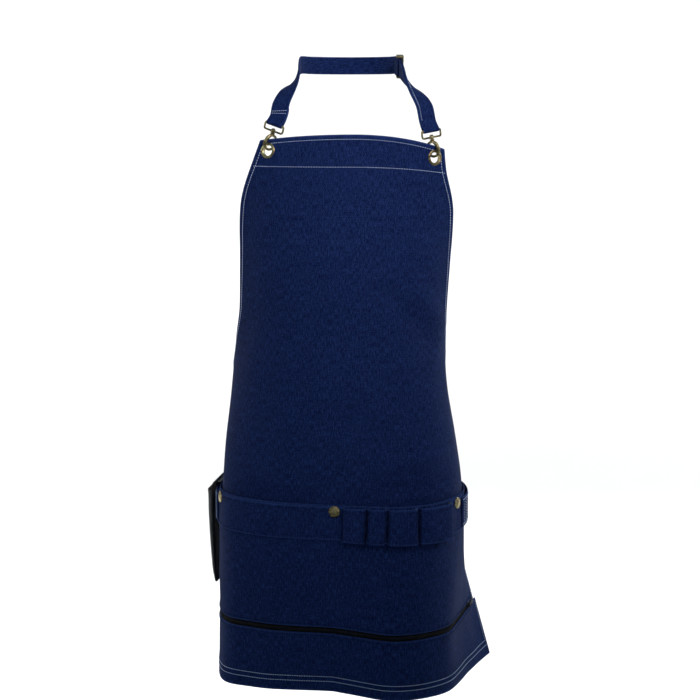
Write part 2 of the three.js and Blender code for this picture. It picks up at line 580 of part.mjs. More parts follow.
function neckStrap() {
  const ends = [-1, 1].map((way, i) => strapSide(hookPlaces[i], way, SHOULDER[i]));
  const nape = new THREE.Vector3(0, NECK_Y + NECK_RADIUS, -STRAP_WIDE / 2);
  const spots = [...ends[0].spots, nape, ...[...ends[1].spots].reverse()];
  const curve = new THREE.CatmullRomCurve3(spots, false, 'centripetal');
  const run = curve.getSpacedPoints(NECK_STEPS);
  const pitch = curve.getLength() / NECK_STEPS;
  const wides = run.map((_, k) => {
    const { level } = ends[k < NECK_STEPS / 2 ? 0 : 1];
    const twist = THREE.MathUtils.smoothstep(Math.min(k, NECK_STEPS - k) * pitch, 20, 150);
    return level.clone().lerp(new THREE.Vector3(0, 0, 1), twist).normalize();
  });
  const frames = framesAlong(run, wides);
  const spreadAt = (k) => THREE.MathUtils.lerp(2 * FOLD, RETURN_GAP, Math.min(1, (k * pitch) / 14));

  const shortEnd = [];
  for (let k = Math.round(RETURN_SHORT / pitch); k >= 1; k -= 1) {
    shortEnd.push(turnedBack(frames[k], spreadAt(k)));
  }
  const longEnd = [];
  const sliderStep = Math.round(SLIDER_AT / pitch);
  const atSlider = frames[NECK_STEPS - sliderStep];
  for (let k = 1; k <= sliderStep; k += 1) longEnd.push(turnedBack(frames[NECK_STEPS - k], spreadAt(k)));

  // Round the slider's middle bar the strap's end turns back once more.
  const turn = SLIDER_BAR + 0.3 + STRAP_THICK / 2;
  const ahead = atSlider.out.clone().cross(atSlider.wide);
  const barSpot = atSlider.spot.clone().addScaledVector(atSlider.out, -RETURN_GAP - turn);
  const onBar = { bar: barSpot, level: atSlider.wide, rise: ahead, out: atSlider.out };
  const stub = [];
  for (let k = sliderStep - 1; (sliderStep - k) * pitch <= STUB_LONG; k -= 1) {
    const near = Math.min(1, ((sliderStep - k) * pitch) / 12);
    const frame = frames[NECK_STEPS - k];
    const spread = THREE.MathUtils.lerp(RETURN_GAP + 2 * turn, 2 * RETURN_GAP, near);
    stub.push({ ...turnedBack(frame, spread), out: frame.out });
  }
  const sliderTurn = foldRound(onBar, turn).map((frame) => ({ ...frame, out: frame.out.negate() }));
  const path = [...shortEnd, ...foldRound(ends[0], FOLD).reverse(), ...frames.slice(1, -1),
    ...foldRound(ends[1], FOLD), ...longEnd, ...sliderTurn, ...stub];
  addPiece('neck_strap', ribbon(path, STRAP_WIDE, STRAP_THICK), 'denim');

  const place = new THREE.Group();
  place.matrixAutoUpdate = false;
  place.matrix.makeBasis(atSlider.wide, ahead.clone().negate(), atSlider.out).setPosition(barSpot);
  apron.add(place);
  const over = RETURN_GAP + turn + STRAP_THICK / 2 + 0.4 + SLIDER_BAR;
  const wide = STRAP_WIDE + 2 + 2 * SLIDER_BAR;
  const bars = [[0, 0], [-8, over], [8, over]].map(([y, z]) => solid(
    new THREE.CylinderGeometry(SLIDER_BAR, SLIDER_BAR, wide, 10).rotateZ(Math.PI / 2).translate(0, y, z)));
  const plates = [-1, 1].map((way) => solid(new THREE.BoxGeometry(2 * SLIDER_BAR, 18.4, over + 2 * SLIDER_BAR)
    .translate((way * wide) / 2, 0, over / 2)));
  const slider = [...bars, ...plates].reduce((whole, bit) => whole.add(bit));
  addPiece('neck_slider', fromSolid(slider), 'brass', place);
}

// ---- Zip along the foot of the pocket -----------------------------------------------------------

function zip() {
  const steps = 44;
  const tape = 0.6;
  [['upper', 1], ['lower', -1]].forEach(([name, way]) => {
    const near = ZIP + way * (COIL / 2 + GAP);
    const far = ZIP + way * ZIP_TAPE;
    const [top, foot] = way > 0 ? [far, near] : [near, far];
    const piece = slab(steps, 1, (a, b, side) => onForm((2 * a - 1) * (POCKET_HALF - 1),
      THREE.MathUtils.lerp(top, foot, b), ZIP_LIES + side * tape));
    addPiece(`zip_tape_${name}`, piece, 'zip');
  });
  const coil = slab(steps, 1, (a, b, side) => onForm((2 * a - 1) * (ZIP_END - COIL_SHORT),
    ZIP + (0.5 - b) * COIL, ZIP_LIES + side * COIL));
  addPiece('zip_coil', coil, 'zip');
  [['right', -1], ['left', 1]].forEach(([name, way]) => {
    const stop = new THREE.BoxGeometry(3, 1.6, COIL).translate(0, -ZIP_LIES - 1.1, 0);
    addPiece(`zip_stop_${name}`, stop, 'brass', onCloth(way * (ZIP_END + (way > 0 ? 1 : -10)), ZIP));
  });
}

function zipSlider() {
  const place = onCloth(ZIP_SLIDER_AT, ZIP);
  const foot = -ZIP_LIES - 0.6 - GAP;         // local y just above the tapes
  const roof = -ZIP_LIES - COIL - GAP;        // local y just above the coil
  const hood = solid(new THREE.BoxGeometry(11, foot - roof + 1.2, 8)
    .translate(0, (foot + roof - 1.2) / 2, 0));
  const tunnel = solid(new THREE.BoxGeometry(20, 10, COIL + 2 * TUNNEL_PLAY).translate(0, roof + 5, 0));
  const ear = (z) => solid(new THREE.BoxGeometry(4.4, 3.2, 1).translate(0, roof - 2.4, z));
  const pinHole = solid(new THREE.CylinderGeometry(0.8, 0.8, 12, 10).rotateX(Math.PI / 2)
    .translate(0, roof - 2.7, 0));
  const body = hood.subtract(tunnel).add(ear(2.4)).add(ear(-2.4)).subtract(pinHole);
  addPiece('zip_slider', fromSolid(body), 'zip', place);

  const axle = solid(new THREE.CylinderGeometry(0.55, 0.55, 7, 10).rotateX(Math.PI / 2)
    .translate(0, roof - 2.7, 0));
  const tab = solid(new THREE.BoxGeometry(22, 1.4, 3).translate(10.4, roof - 2.7, 0));
  const end = solid(new THREE.BoxGeometry(12, 1.8, 6).translate(17, roof - 2.7, 0));
  addPiece('zip_puller', fromSolid(axle.add(tab).add(end)), 'zip', place);
}

// ---- Pouch that rides on the right waist strap ---------------------------------------------------

function pouch() {
  const place = new THREE.Group();
  const spot = onForm(POUCH_AT, BELT_Z, 0);
  place.position.set(spot.x, spot.y, 0);
  place.rotation.z = heading(POUCH_AT, BELT_Z);
  apron.add(place);

  const beltInner = BELT_LIES.at(-1)[1] - BELT_THICK / 2;
  const beltOuter = beltInner + BELT_THICK;
  const { wall, slack } = HANGER;
  const [near, far] = [beltInner - slack - wall, beltOuter + slack + wall];
  const box = (x, from, to, low, high) => solid(new THREE.BoxGeometry(x, to - from, high - low)
    .translate(0, -(from + to) / 2, (low + high) / 2));
  const beltLow = BELT_Z - BAND_HIGH / 2;
  const beltHigh = BELT_Z + BAND_HIGH / 2;
  const hanger = box(HANGER.wide, near, far, beltLow - 2 * wall - 1, beltHigh + wall + 1)
    .subtract(box(2 * HANGER.wide, near + wall, far - wall, beltLow - wall - 1, beltHigh + 1));
  addPiece('pouch_belt_loop', fromSolid(hanger), 'pouch', place);

  // The back is a flat plate with a rounded foot; the front bellies out and closes at the foot.
  const { wide, high, deep, top } = POUCH;
  const foot = top - high;
  const halfAt = (down) => (wide / 2) * (1 - 0.42 * down ** 2)
    * Math.sqrt(1 - 12 * Math.max(0, down - 0.8) ** 2);
  const backFace = far + GAP;
  const back = slab(6, 10, (a, b, side) => new THREE.Vector3((2 * a - 1) * halfAt(b),
    -(backFace + side * POUCH.wall), THREE.MathUtils.lerp(top, foot, b)));
  addPiece('pouch_back', back, 'pouch', place);
  const seat = backFace + POUCH.wall + GAP;
  const lip = top - 12;
  const depthAt = (down) => deep * (1 - 0.85 * down ** 1.6);
  const shell = (inset) => solid(slab(8, 10, (a, b, side) => {
    const across = 2 * a - 1;
    const roof = Math.max(0.4, depthAt(b) * (1 - across ** 6) + 1.6 - inset) + (inset ? 0 : 0.6);
    const inner = inset ? -5 : 0;
    const z = THREE.MathUtils.lerp(lip + (inset ? 6 : 0), foot + inset, b);
    return new THREE.Vector3(across * (halfAt(b) - inset), -(seat + (side ? roof : inner)), z);
  }));
  addPiece('pouch_front', fromSolid(shell(0).subtract(shell(POUCH.wall))), 'pouch', place);
}

apronPanel();
bibFacing();
pocketPanel();
hemPanel();
toolBand();
waistStrap(-1);
waistStrap(1);
closureSnaps();
bandStuds();
bibEyelets();
const hookPlaces = [snapHook(0), snapHook(1)];
neckStrap();
zip();
zipSlider();
pouch();

export default apron;
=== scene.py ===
"""Looks for the denim bib apron: cloth, stitching, zip, brass fittings, pouch and studio.

Lengths are in metres. The wearer faces -Y, +Z is up and +X is the wearer's left.
"""

import json
import math

import bpy
import numpy as np
from mathutils import Matrix, Vector

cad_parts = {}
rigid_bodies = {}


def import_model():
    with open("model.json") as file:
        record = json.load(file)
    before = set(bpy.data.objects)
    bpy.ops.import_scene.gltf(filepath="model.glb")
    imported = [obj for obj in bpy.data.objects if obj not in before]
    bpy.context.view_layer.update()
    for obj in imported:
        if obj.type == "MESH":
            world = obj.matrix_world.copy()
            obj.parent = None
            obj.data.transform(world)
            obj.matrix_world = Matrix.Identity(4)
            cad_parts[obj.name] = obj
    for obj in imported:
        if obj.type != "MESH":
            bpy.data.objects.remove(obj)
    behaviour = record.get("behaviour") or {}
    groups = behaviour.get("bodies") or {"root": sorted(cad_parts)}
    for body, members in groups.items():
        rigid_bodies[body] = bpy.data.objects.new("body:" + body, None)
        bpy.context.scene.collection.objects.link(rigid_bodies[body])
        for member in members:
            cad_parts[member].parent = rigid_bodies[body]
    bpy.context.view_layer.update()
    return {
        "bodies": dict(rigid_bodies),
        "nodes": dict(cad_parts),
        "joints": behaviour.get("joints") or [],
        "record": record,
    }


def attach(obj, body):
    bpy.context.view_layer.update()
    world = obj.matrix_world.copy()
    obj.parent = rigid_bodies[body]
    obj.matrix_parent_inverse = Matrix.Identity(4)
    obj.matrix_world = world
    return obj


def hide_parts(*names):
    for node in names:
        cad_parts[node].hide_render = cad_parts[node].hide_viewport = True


bl_info = {
    "name": "Denim Bib Apron",
    "version": (1, 0, 0),
    "blender": (4, 5, 0),
    "location": "View3D > Sidebar > Apron",
    "description": "Builds the cloth, stitching and finishes of a denim bib apron",
    "category": "Object",
}

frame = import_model()
MM = 0.001

# ---- Sizes, as in the part's own design ---------------------------------------------

CLOTH = 1.2 * MM
BIB_TOP = -108 * MM
BIB_DIP = (8 * MM, 20 * MM)
HEM = -868 * MM
FACING = 40 * MM
EDGE = 345 * MM
BAND_TOP = -611 * MM
BAND_HIGH = 45 * MM
BAND_END = 214 * MM
POCKET_TOP = -609 * MM
POCKET_HALF = 305 * MM
ZIP = -783 * MM
ZIP_SHOWS = 9.6 * MM
ZIP_TAPE = 12 * MM
ZIP_LIES = CLOTH + 0.9 * MM
FRONT_LIES = CLOTH + 2.2 * MM
EYELET_SIDE = (-117.5 * MM, 118.5 * MM)
EYELET_DEEP = (15 * MM, 14.5 * MM)
STRAP_WIDE = 24 * MM
STRAP_THICK = 1.8 * MM
BELT_START = 200 * MM
BELT_LIES = ((200 * MM, 8.2 * MM), (240 * MM, 9 * MM))
BELT_BACK_Y = 156 * MM
BELT_TURNS = ((0.78, 0.55), (0.55, 0.92), (0.36, 1.0), (0.1, 1.0))
BELT_LAP = 38 * MM
BELT_THICK = 1.8 * MM
BELT_Z = BAND_TOP - BAND_HIGH / 2
POUCH_AT = -268 * MM
POUCH_WIDE = 74 * MM
POUCH_HIGH = 150 * MM
POUCH_DEEP = 7.6 * MM
POUCH_WALL = 1.6 * MM
POUCH_TOP = BAND_TOP + 4 * MM
POUCH_BACK = 12.8 * MM          # inner face of the pouch's back, out from the apron
HANGER_WIDE = 38 * MM
HANGER_WALL = 1.4 * MM
HANGER_SLACK = 1.1 * MM
STUD_SIDE = (-188 * MM, 0.0, 182 * MM)
STUD_DOWN = 6 * MM
WIRE = 1.8 * MM
BOW_HALF = 8 * MM
BOW_UP = 19 * MM
HOOK_BACK = 0.5 * MM
HOOK_DROP = 1.6 * MM
HOOK_LEAN = (17, -9)            # degrees towards the neck
HOOK_TWIST = (-28, 28)          # degrees that the hooks are swivelled from their rings
COLLAR = 4.5 * MM
PIN_UP = BOW_UP - 4.2 * MM
RING_HALF = (14.8 * MM, 5 * MM)
RING_CORNER = 2.6 * MM
RING_WIRE = 1.4 * MM
BOSS_FOOT = BOW_UP + COLLAR + 0.4 * MM
BOSS_TOP = BOSS_FOOT + 4 * MM
RING_MIDDLE = BOSS_FOOT + 2 * MM + RING_HALF[1]
STRAP_RISE = (0, 0.5, 0.86)
SHOULDER = (((93, -62, -66), (85, -44, -49), (75, -16, -33), (71, 14, -19)),
            ((101, -62, -69), (92, -43, -52), (79, -15, -34), (72, 15, -19)))
NECK_RADIUS = 73 * MM
NECK_Y = 25 * MM
FOLD = RING_WIRE + 0.3 * MM + STRAP_THICK / 2
RETURN_GAP = STRAP_THICK + 0.5 * MM
RETURN_SHORT = 26 * MM
SLIDER_AT = 158 * MM
SLIDER_BAR = 1.2 * MM
STUB_LONG = 20 * MM
FOLD_FRAMES = 14
RUN_FRAMES = 240
COIL_HALF = 284 * MM

# ---- The worn form --------------------------------------------------------------------
# At each level the cloth's plan starts on the centre line. TURN gives how far it has
# turned from facing front, in degrees, at each of STATIONS along the cloth.

STATIONS = (-345, -240, -190, -140, 0, 60, 100, 150, 215, 345)
TURN = (
    (-870, (-96, -92, -80, -24, -20, -16, 22, 40, 70, 62)),
    (-783, (-96, -92, -76, -30, -20, -16, 22, 42, 76, 76)),
    (-617, (-104, -94, -72, -38, -10, 4, 16, 42, 77, 112)),
    (-400, (-100, -92, -76, -50, -4, 14, 32, 58, 90, 98)),
    (-100, (-82, -56, -46, -34, 0, 14, 24, 36, 50, 82)),
)
CENTRE_X = ((-880, -22), (-611, -20), (-400, -13), (-300, -8), (-220, -5), (-160, -2), (-108, 5))
CENTRE_Y = ((-880, -124), (-775, -119), (-611, -112), (-400, -112), (-300, -118), (-200, -112),
            (-108, -100))
HALF_WIDTH = ((-520, 345), (-508, 335), (-478, 300), (-438, 245), (-388, 197), (-338, 176),
              (-268, 170), (-198, 163), (-138, 141), (-108, 132))
# Each fold's start and end on the cloth, its half width and how far it stands out, in mm.
FOLDS = (
    ((40, -300), (150, -400), 16, -4.4),
    ((70, -290), (175, -380), 15, 3.4),
    ((60, -560), (175, -545), 13, 4.2),
    ((40, -590), (170, -585), 9, -2.9),
    ((-150, -580), (-30, -560), 16, 1.6),
    ((-120, -330), (-175, -420), 20, -2.0),
    ((-30, -470), (90, -520), 24, -1.6),
)
HEM_SAG = ((0, 0), (120, 8), (190, 9), (230, 8), (345, 2))
SAMPLE_U = 2.5 * MM
SAMPLE_Z = 4 * MM
STITCH_SHARE = 0.68             # share of the stitch pitch where thread shows
HEM_STEPS = np.array([0, 0.06, 0.2, 0.45, 0.7, 0.86, 0.95, 1.0, 1.15])   # rows across a folded hem


def along(x, knots):
    """Smooth values at x through rising (x, value) knots, with no overshoot."""
    xs, ys = (np.array(column, float) for column in zip(*knots))
    x = np.clip(np.asarray(x, float), xs[0], xs[-1])
    rise = np.diff(ys) / np.diff(xs)
    slope = np.concatenate([rise[:1], rise[:-1] * rise[1:], rise[-1:]])
    both = rise[:-1] + rise[1:]
    same = slope[1:-1] > 0
    slope[1:-1] = np.where(same, 2 * slope[1:-1] / np.where(same, both, 1), 0)
    k = np.clip(np.searchsorted(xs, x, side="right") - 1, 0, len(xs) - 2)
    span = xs[k + 1] - xs[k]
    t = (x - xs[k]) / span
    return ((2 * t**3 - 3 * t**2 + 1) * ys[k] + (t**3 - 2 * t**2 + t) * span * slope[k]
            + (3 * t**2 - 2 * t**3) * ys[k + 1] + (t**3 - t**2) * span * slope[k + 1])


def in_mm(knots):
    """Knots given in millimetres, turned to metres."""
    return [(x * MM, y * MM) for x, y in knots]


class Form:
    """The surface that the cloth lies on, sampled once and then looked up."""

    def __init__(self):
        self.us = np.arange(-148, 149) * SAMPLE_U
        self.zs = np.arange(-0.884, -0.0959, SAMPLE_Z)
        levels = [level * MM for level, _ in TURN]
        rows = [along(self.us, [(s * MM, t) for s, t in zip(STATIONS, turns)]) for _, turns in TURN]
        middles = (self.us[1:] + self.us[:-1]) / 2
        mid_rows = [along(middles, [(s * MM, t) for s, t in zip(STATIONS, turns)]) for _, turns in TURN]
        self.turn = np.radians(self.blend(levels, rows))
        mid_turn = np.radians(self.blend(levels, mid_rows))
        start = len(self.us) // 2
        self.x = self.run(np.cos(mid_turn), start) + along(self.zs, in_mm(CENTRE_X))[:, None]
        self.y = self.run(np.sin(mid_turn), start) + along(self.zs, in_mm(CENTRE_Y))[:, None]

    def blend(self, levels, rows):
        columns = np.array(rows).T
        return np.array([along(self.zs, list(zip(levels, column))) for column in columns]).T

    def run(self, steps, start):
        total = np.concatenate([np.zeros((len(steps), 1)), np.cumsum(steps * SAMPLE_U, axis=1)], axis=1)
        return total - total[:, start:start + 1]

    def look_up(self, table, u, z):
        i = np.clip((u - self.us[0]) / SAMPLE_U, 0, len(self.us) - 1.001)
        j = np.clip((z - self.zs[0]) / SAMPLE_Z, 0, len(self.zs) - 1.001)
        i0, j0 = i.astype(int), j.astype(int)
        fi, fj = i - i0, j - j0
        low = table[j0, i0] * (1 - fi) + table[j0, i0 + 1] * fi
        high = table[j0 + 1, i0] * (1 - fi) + table[j0 + 1, i0 + 1] * fi
        return low * (1 - fj) + high * fj

    def place(self, u, z, out=0.0):
        """Points at (u, z), standing out from the apron's inner face by out."""
        u, z, out = np.broadcast_arrays(np.asarray(u, float), np.asarray(z, float), np.asarray(out, float))
        turn = self.look_up(self.turn, u, z)
        below = np.clip((BAND_TOP - z) / (BAND_TOP - HEM), 0, 1)
        sag = below * along(np.abs(u), in_mm(HEM_SAG))
        out = out + relief(u, z)
        return np.stack([self.look_up(self.x, u, z) + out * np.sin(turn),
                         self.look_up(self.y, u, z) - out * np.cos(turn), z - sag], axis=-1)

    def heading(self, u, z):
        return float(self.look_up(self.turn, np.array(u), np.array(z)))


def soft_bump(x, centre, wide):
    """A smooth bump of height 1 at the centre."""
    return np.exp(-(((x - centre) / wide) ** 2))


def ridge(u, z, start, end, wide, high):
    """A soft fold along the line from start to end, in (u, z)."""
    start, end = np.array(start) * MM, np.array(end) * MM
    line = end - start
    length = np.hypot(*line)
    line = line / length
    down = (u - start[0]) * line[0] + (z - start[1]) * line[1]
    across = (u - start[0]) * -line[1] + (z - start[1]) * line[0]
    ends = np.clip(down / (0.35 * length), 0, 1) * np.clip((length - down) / (0.35 * length), 0, 1)
    return high * MM * np.sqrt(ends) * np.exp(-((across / (wide * MM)) ** 2))


def relief(u, z):
    """Soft folds of the cloth on its wearer, all layers alike, dying out at the fittings."""
    folds = sum(ridge(u, z, *fold) for fold in FOLDS)
    waves = 0.7 * MM * np.sin(u * 44 + 1.3 * np.sin(z * 11)) * np.sin(z * 13 + u * 6 + 0.6)
    waves += 0.4 * MM * np.sin(u * 97 + z * 31) * np.sin(z * 37 - u * 19)
    low = np.clip((POCKET_TOP - 0.05 - z) / 0.1, 0, 1)
    waves += low * 1.4 * MM * np.sin(u * 31 + 0.8) * np.sin(z * 17)
    calm = np.ones_like(u)
    for side, deep in zip(EYELET_SIDE, EYELET_DEEP):
        calm = calm * (1 - soft_bump(u, side, 0.03) * soft_bump(z, BIB_TOP - deep - 0.01, 0.04))
    calm = calm * (1 - 0.85 * soft_bump(z, BELT_Z, 0.03))
    return (folds + waves) * calm


FORM = Form()


def bib_edge(u):
    """Height of the bib's top edge, which dips towards its corners."""
    dip = np.where(u < 0, BIB_DIP[0], BIB_DIP[1])
    return BIB_TOP - dip * np.minimum(1, (u / 0.132) ** 2)


def half_width(z):
    """Half the cloth's width at a height."""
    return along(z, in_mm(HALF_WIDTH))


def pocket_stand_off(u, z):
    """How far the pocket's inner face stands out: its top gapes between the studs."""
    gapes = in_mm(((-188, 0), (-95, 6), (0, 0), (92, 13), (182, 0)))
    depth = np.clip((POCKET_TOP - z) / (POCKET_TOP - ZIP), 0, 1)
    return FRONT_LIES + along(u, gapes) * (1 - depth**2)


# ---- Shader groups and materials ---------------------------------------------------------


def new_group(name, inputs, outputs):
    tree = bpy.data.node_groups.new(name, "ShaderNodeTree")
    for label, kind, value in inputs:
        socket = tree.interface.new_socket(name=label, in_out="INPUT", socket_type=kind)
        if value is not None:
            socket.default_value = value
    for label, kind in outputs:
        tree.interface.new_socket(name=label, in_out="OUTPUT", socket_type=kind)
    return tree, tree.nodes.new("NodeGroupInput"), tree.nodes.new("NodeGroupOutput")


def link_math(tree, operation, first, second=None, clamp=False):
    node = tree.nodes.new("ShaderNodeMath")
    node.operation = operation
    node.use_clamp = clamp
    for slot, value in zip(node.inputs, (first, second)):
        if isinstance(value, (int, float)):
            slot.default_value = value
        elif value is not None:
            tree.links.new(value, slot)
    return node.outputs[0]


def link_noise(tree, vector, scale, detail=3.0, rough=0.55):
    noise = tree.nodes.new("ShaderNodeTexNoise")
    noise.inputs["Scale"].default_value = scale
    noise.inputs["Detail"].default_value = detail
    noise.inputs["Roughness"].default_value = rough
    tree.links.new(vector, noise.inputs["Vector"])
    return noise.outputs["Fac"]


def link_stretch(tree, vector, x, y, z=1.0, turn=0.0):
    node = tree.nodes.new("ShaderNodeMapping")
    node.inputs["Scale"].default_value = (x, y, z)
    node.inputs["Rotation"].default_value = (0, 0, turn)
    tree.links.new(vector, node.inputs["Vector"])
    return node.outputs[0]


def link_mix(tree, share, first, second):
    node = tree.nodes.new("ShaderNodeMix")
    node.data_type = "RGBA"
    for slot, value in ((node.inputs["Factor"], share), (node.inputs[6], first), (node.inputs[7], second)):
        if isinstance(value, (int, float)):
            slot.default_value = value
        elif isinstance(value, tuple):
            slot.default_value = value
        else:
            tree.links.new(value, slot)
    return node.outputs[2]


def twill_group():
    """Denim twill on a UV map laid out in metres: its colour, roughness and height."""
    tree, given, result = new_group("Twill", [
        ("Vector", "NodeSocketVector", None),
        ("Warp", "NodeSocketColor", (0.02, 0.03, 0.12, 1)),
        ("Weft", "NodeSocketColor", (0.2, 0.26, 0.42, 1)),
        ("Edge", "NodeSocketFloat", 0.0),
        ("Wear And Rim Light", "NodeSocketFloat", 0.5),
    ], [("Color", "NodeSocketColor"), ("Roughness", "NodeSocketFloat"), ("Height", "NodeSocketFloat")])
    at = given.outputs["Vector"]
    wave = tree.nodes.new("ShaderNodeTexWave")
    wave.inputs["Scale"].default_value = 130
    wave.inputs["Distortion"].default_value = 1.2
    wave.inputs["Detail"].default_value = 2
    wave.inputs["Detail Scale"].default_value = 3
    tree.links.new(link_stretch(tree, at, 1, 1, 1, math.radians(-32)), wave.inputs["Vector"])
    ribs = wave.outputs["Fac"]
    slubs = link_noise(tree, link_stretch(tree, at, 620, 130), 1, 4, 0.6)
    picks = link_noise(tree, link_stretch(tree, at, 150, 600), 1, 3, 0.6)
    flecks = link_noise(tree, at, 620, 2, 0.7)
    mottle = link_noise(tree, at, 26, 4, 0.6)
    grain = link_math(tree, "ADD", link_math(tree, "MULTIPLY", slubs, 0.5),
                      link_math(tree, "MULTIPLY", picks, 0.22))
    grain = link_math(tree, "ADD", grain, link_math(tree, "MULTIPLY", flecks, 0.38))
    pale = link_math(tree, "SUBTRACT", grain, 0.495)
    pale = link_math(tree, "MULTIPLY", pale, 5.0, True)
    pale = link_math(tree, "ADD", pale, link_math(tree, "MULTIPLY", ribs, 0.05))
    # Paler weft near the cloth's edges: partly rubbed wear, partly a painted rim highlight for light caught
    # along the edges.
    rubbed_and_rim_lit = link_math(tree, "MULTIPLY", given.outputs["Edge"], given.outputs["Wear And Rim Light"])
    rubbed_and_rim_lit = link_math(tree, "MULTIPLY", rubbed_and_rim_lit, link_math(tree, "ADD", mottle, 0.25))
    pale = link_math(tree, "ADD", pale, rubbed_and_rim_lit, True)
    fade = link_math(tree, "MULTIPLY", link_math(tree, "SUBTRACT", mottle, 0.42), 0.25, True)
    pale = link_math(tree, "ADD", pale, fade, True)
    colour = link_mix(tree, pale, given.outputs["Warp"], given.outputs["Weft"])
    tree.links.new(colour, result.inputs["Color"])
    rough = link_math(tree, "ADD", link_math(tree, "MULTIPLY", pale, 0.1), 0.82)
    tree.links.new(rough, result.inputs["Roughness"])
    height = link_math(tree, "ADD", link_math(tree, "MULTIPLY", ribs, 0.45),
                       link_math(tree, "MULTIPLY", grain, 0.9))
    tree.links.new(height, result.inputs["Height"])
    return tree


def patina_group():
    """Antiqued metal on Object coordinates: bright rubs over dark patina."""
    tree, given, result = new_group("Patina", [
        ("Vector", "NodeSocketVector", None),
        ("Bright", "NodeSocketColor", (0.62, 0.5, 0.3, 1)),
        ("Dark", "NodeSocketColor", (0.06, 0.043, 0.02, 1)),
        ("Age", "NodeSocketFloat", 0.5),
    ], [("Color", "NodeSocketColor"), ("Roughness", "NodeSocketFloat"), ("Height", "NodeSocketFloat")])
    at = given.outputs["Vector"]
    spots = link_noise(tree, at, 260, 5, 0.65)
    haze = link_noise(tree, at, 60, 3, 0.5)
    fine = link_noise(tree, at, 1900, 2, 0.5)
    share = link_math(tree, "ADD", link_math(tree, "MULTIPLY", spots, 0.8),
                      link_math(tree, "MULTIPLY", haze, 0.6))
    share = link_math(tree, "SUBTRACT", share, 0.55)
    share = link_math(tree, "MULTIPLY", share, link_math(tree, "MULTIPLY", given.outputs["Age"], 6), True)
    colour = link_mix(tree, share, given.outputs["Bright"], given.outputs["Dark"])
    tree.links.new(colour, result.inputs["Color"])
    rough = link_math(tree, "ADD", link_math(tree, "MULTIPLY", share, 0.3), 0.24)
    rough = link_math(tree, "ADD", rough, link_math(tree, "MULTIPLY", fine, 0.1))
    tree.links.new(rough, result.inputs["Roughness"])
    height = link_math(tree, "ADD", spots, link_math(tree, "MULTIPLY", fine, 0.3))
    tree.links.new(height, result.inputs["Height"])
    return tree


def weave_group():
    """Plain woven cloth or thread on a UV map or Object coordinates."""
    tree, given, result = new_group("Plain Weave", [
        ("Vector", "NodeSocketVector", None),
        ("Base", "NodeSocketColor", (0.02, 0.02, 0.02, 1)),
        ("Light", "NodeSocketColor", (0.08, 0.08, 0.09, 1)),
        ("Scale", "NodeSocketFloat", 900.0),
    ], [("Color", "NodeSocketColor"), ("Roughness", "NodeSocketFloat"), ("Height", "NodeSocketFloat")])
    noise = tree.nodes.new("ShaderNodeTexNoise")
    noise.inputs["Detail"].default_value = 3
    tree.links.new(given.outputs["Vector"], noise.inputs["Vector"])
    tree.links.new(given.outputs["Scale"], noise.inputs["Scale"])
    lint = link_noise(tree, given.outputs["Vector"], 45, 4, 0.6)
    share = link_math(tree, "SUBTRACT", link_math(tree, "ADD", noise.outputs["Fac"], lint), 0.75, True)
    colour = link_mix(tree, share, given.outputs["Base"], given.outputs["Light"])
    tree.links.new(colour, result.inputs["Color"])
    tree.links.new(link_math(tree, "ADD", link_math(tree, "MULTIPLY", noise.outputs["Fac"], 0.3), 0.55),
                   result.inputs["Roughness"])
    tree.links.new(noise.outputs["Fac"], result.inputs["Height"])
    return tree


GROUP_MAKERS = {"Twill": twill_group, "Patina": patina_group, "Plain Weave": weave_group}


def finish_material(name, group, values, source="UV", bump=(0.3, 0.0004), **shader):
    """A material whose colour, roughness and bump come from one of the shared groups."""
    made = bpy.data.materials.get(name)
    if made:
        return made
    tree = bpy.data.node_groups.get(group) or GROUP_MAKERS[group]()
    material = bpy.data.materials.new(name)
    material.use_nodes = True
    nodes, links = material.node_tree.nodes, material.node_tree.links
    bsdf = nodes["Principled BSDF"]
    coordinates = nodes.new("ShaderNodeTexCoord")
    pattern = nodes.new("ShaderNodeGroup")
    pattern.node_tree = tree
    links.new(coordinates.outputs[source], pattern.inputs["Vector"])
    for label, value in values.items():
        pattern.inputs[label].default_value = value
    # The edge attribute makes the cloth paler at its edges: rubbed wear plus a painted rim highlight.
    if "Edge" in pattern.inputs:
        edge = nodes.new("ShaderNodeAttribute")
        edge.attribute_name = "edge"
        links.new(edge.outputs["Fac"], pattern.inputs["Edge"])
    links.new(pattern.outputs["Color"], bsdf.inputs["Base Color"])
    links.new(pattern.outputs["Roughness"], bsdf.inputs["Roughness"])
    relief_node = nodes.new("ShaderNodeBump")
    relief_node.inputs["Strength"].default_value = bump[0]
    relief_node.inputs["Distance"].default_value = bump[1]
    links.new(pattern.outputs["Height"], relief_node.inputs["Height"])
    links.new(relief_node.outputs["Normal"], bsdf.inputs["Normal"])
    for label, value in shader.items():
        bsdf.inputs[label.replace("_", " ")].default_value = value
    return material


def colour(value):
    return (*value, 1.0)


def denim():
    looks = bpy.context.scene.apron_looks
    # Wear sets how pale the edges go: rubbed wear plus a painted rim highlight.
    values = {"Warp": colour(looks.warp), "Weft": colour(looks.weft), "Wear And Rim Light": looks.edge_wear_and_rim_light}
    return finish_material("denim_twill", "Twill", values, bump=(0.35, 0.0005), Sheen_Weight=0.02,
                           Sheen_Roughness=0.5, Specular_IOR_Level=0.04)


def denim_inside():
    looks = bpy.context.scene.apron_looks
    # The wrong side's edges go paler too: rubbed wear plus a painted rim highlight.
    values = {"Warp": colour(looks.inside), "Weft": (0.42, 0.46, 0.55, 1), "Wear And Rim Light": 0.2}
    return finish_material("denim_wrong_side", "Twill", values, bump=(0.35, 0.0005), Sheen_Weight=0.02,
                           Specular_IOR_Level=0.05)


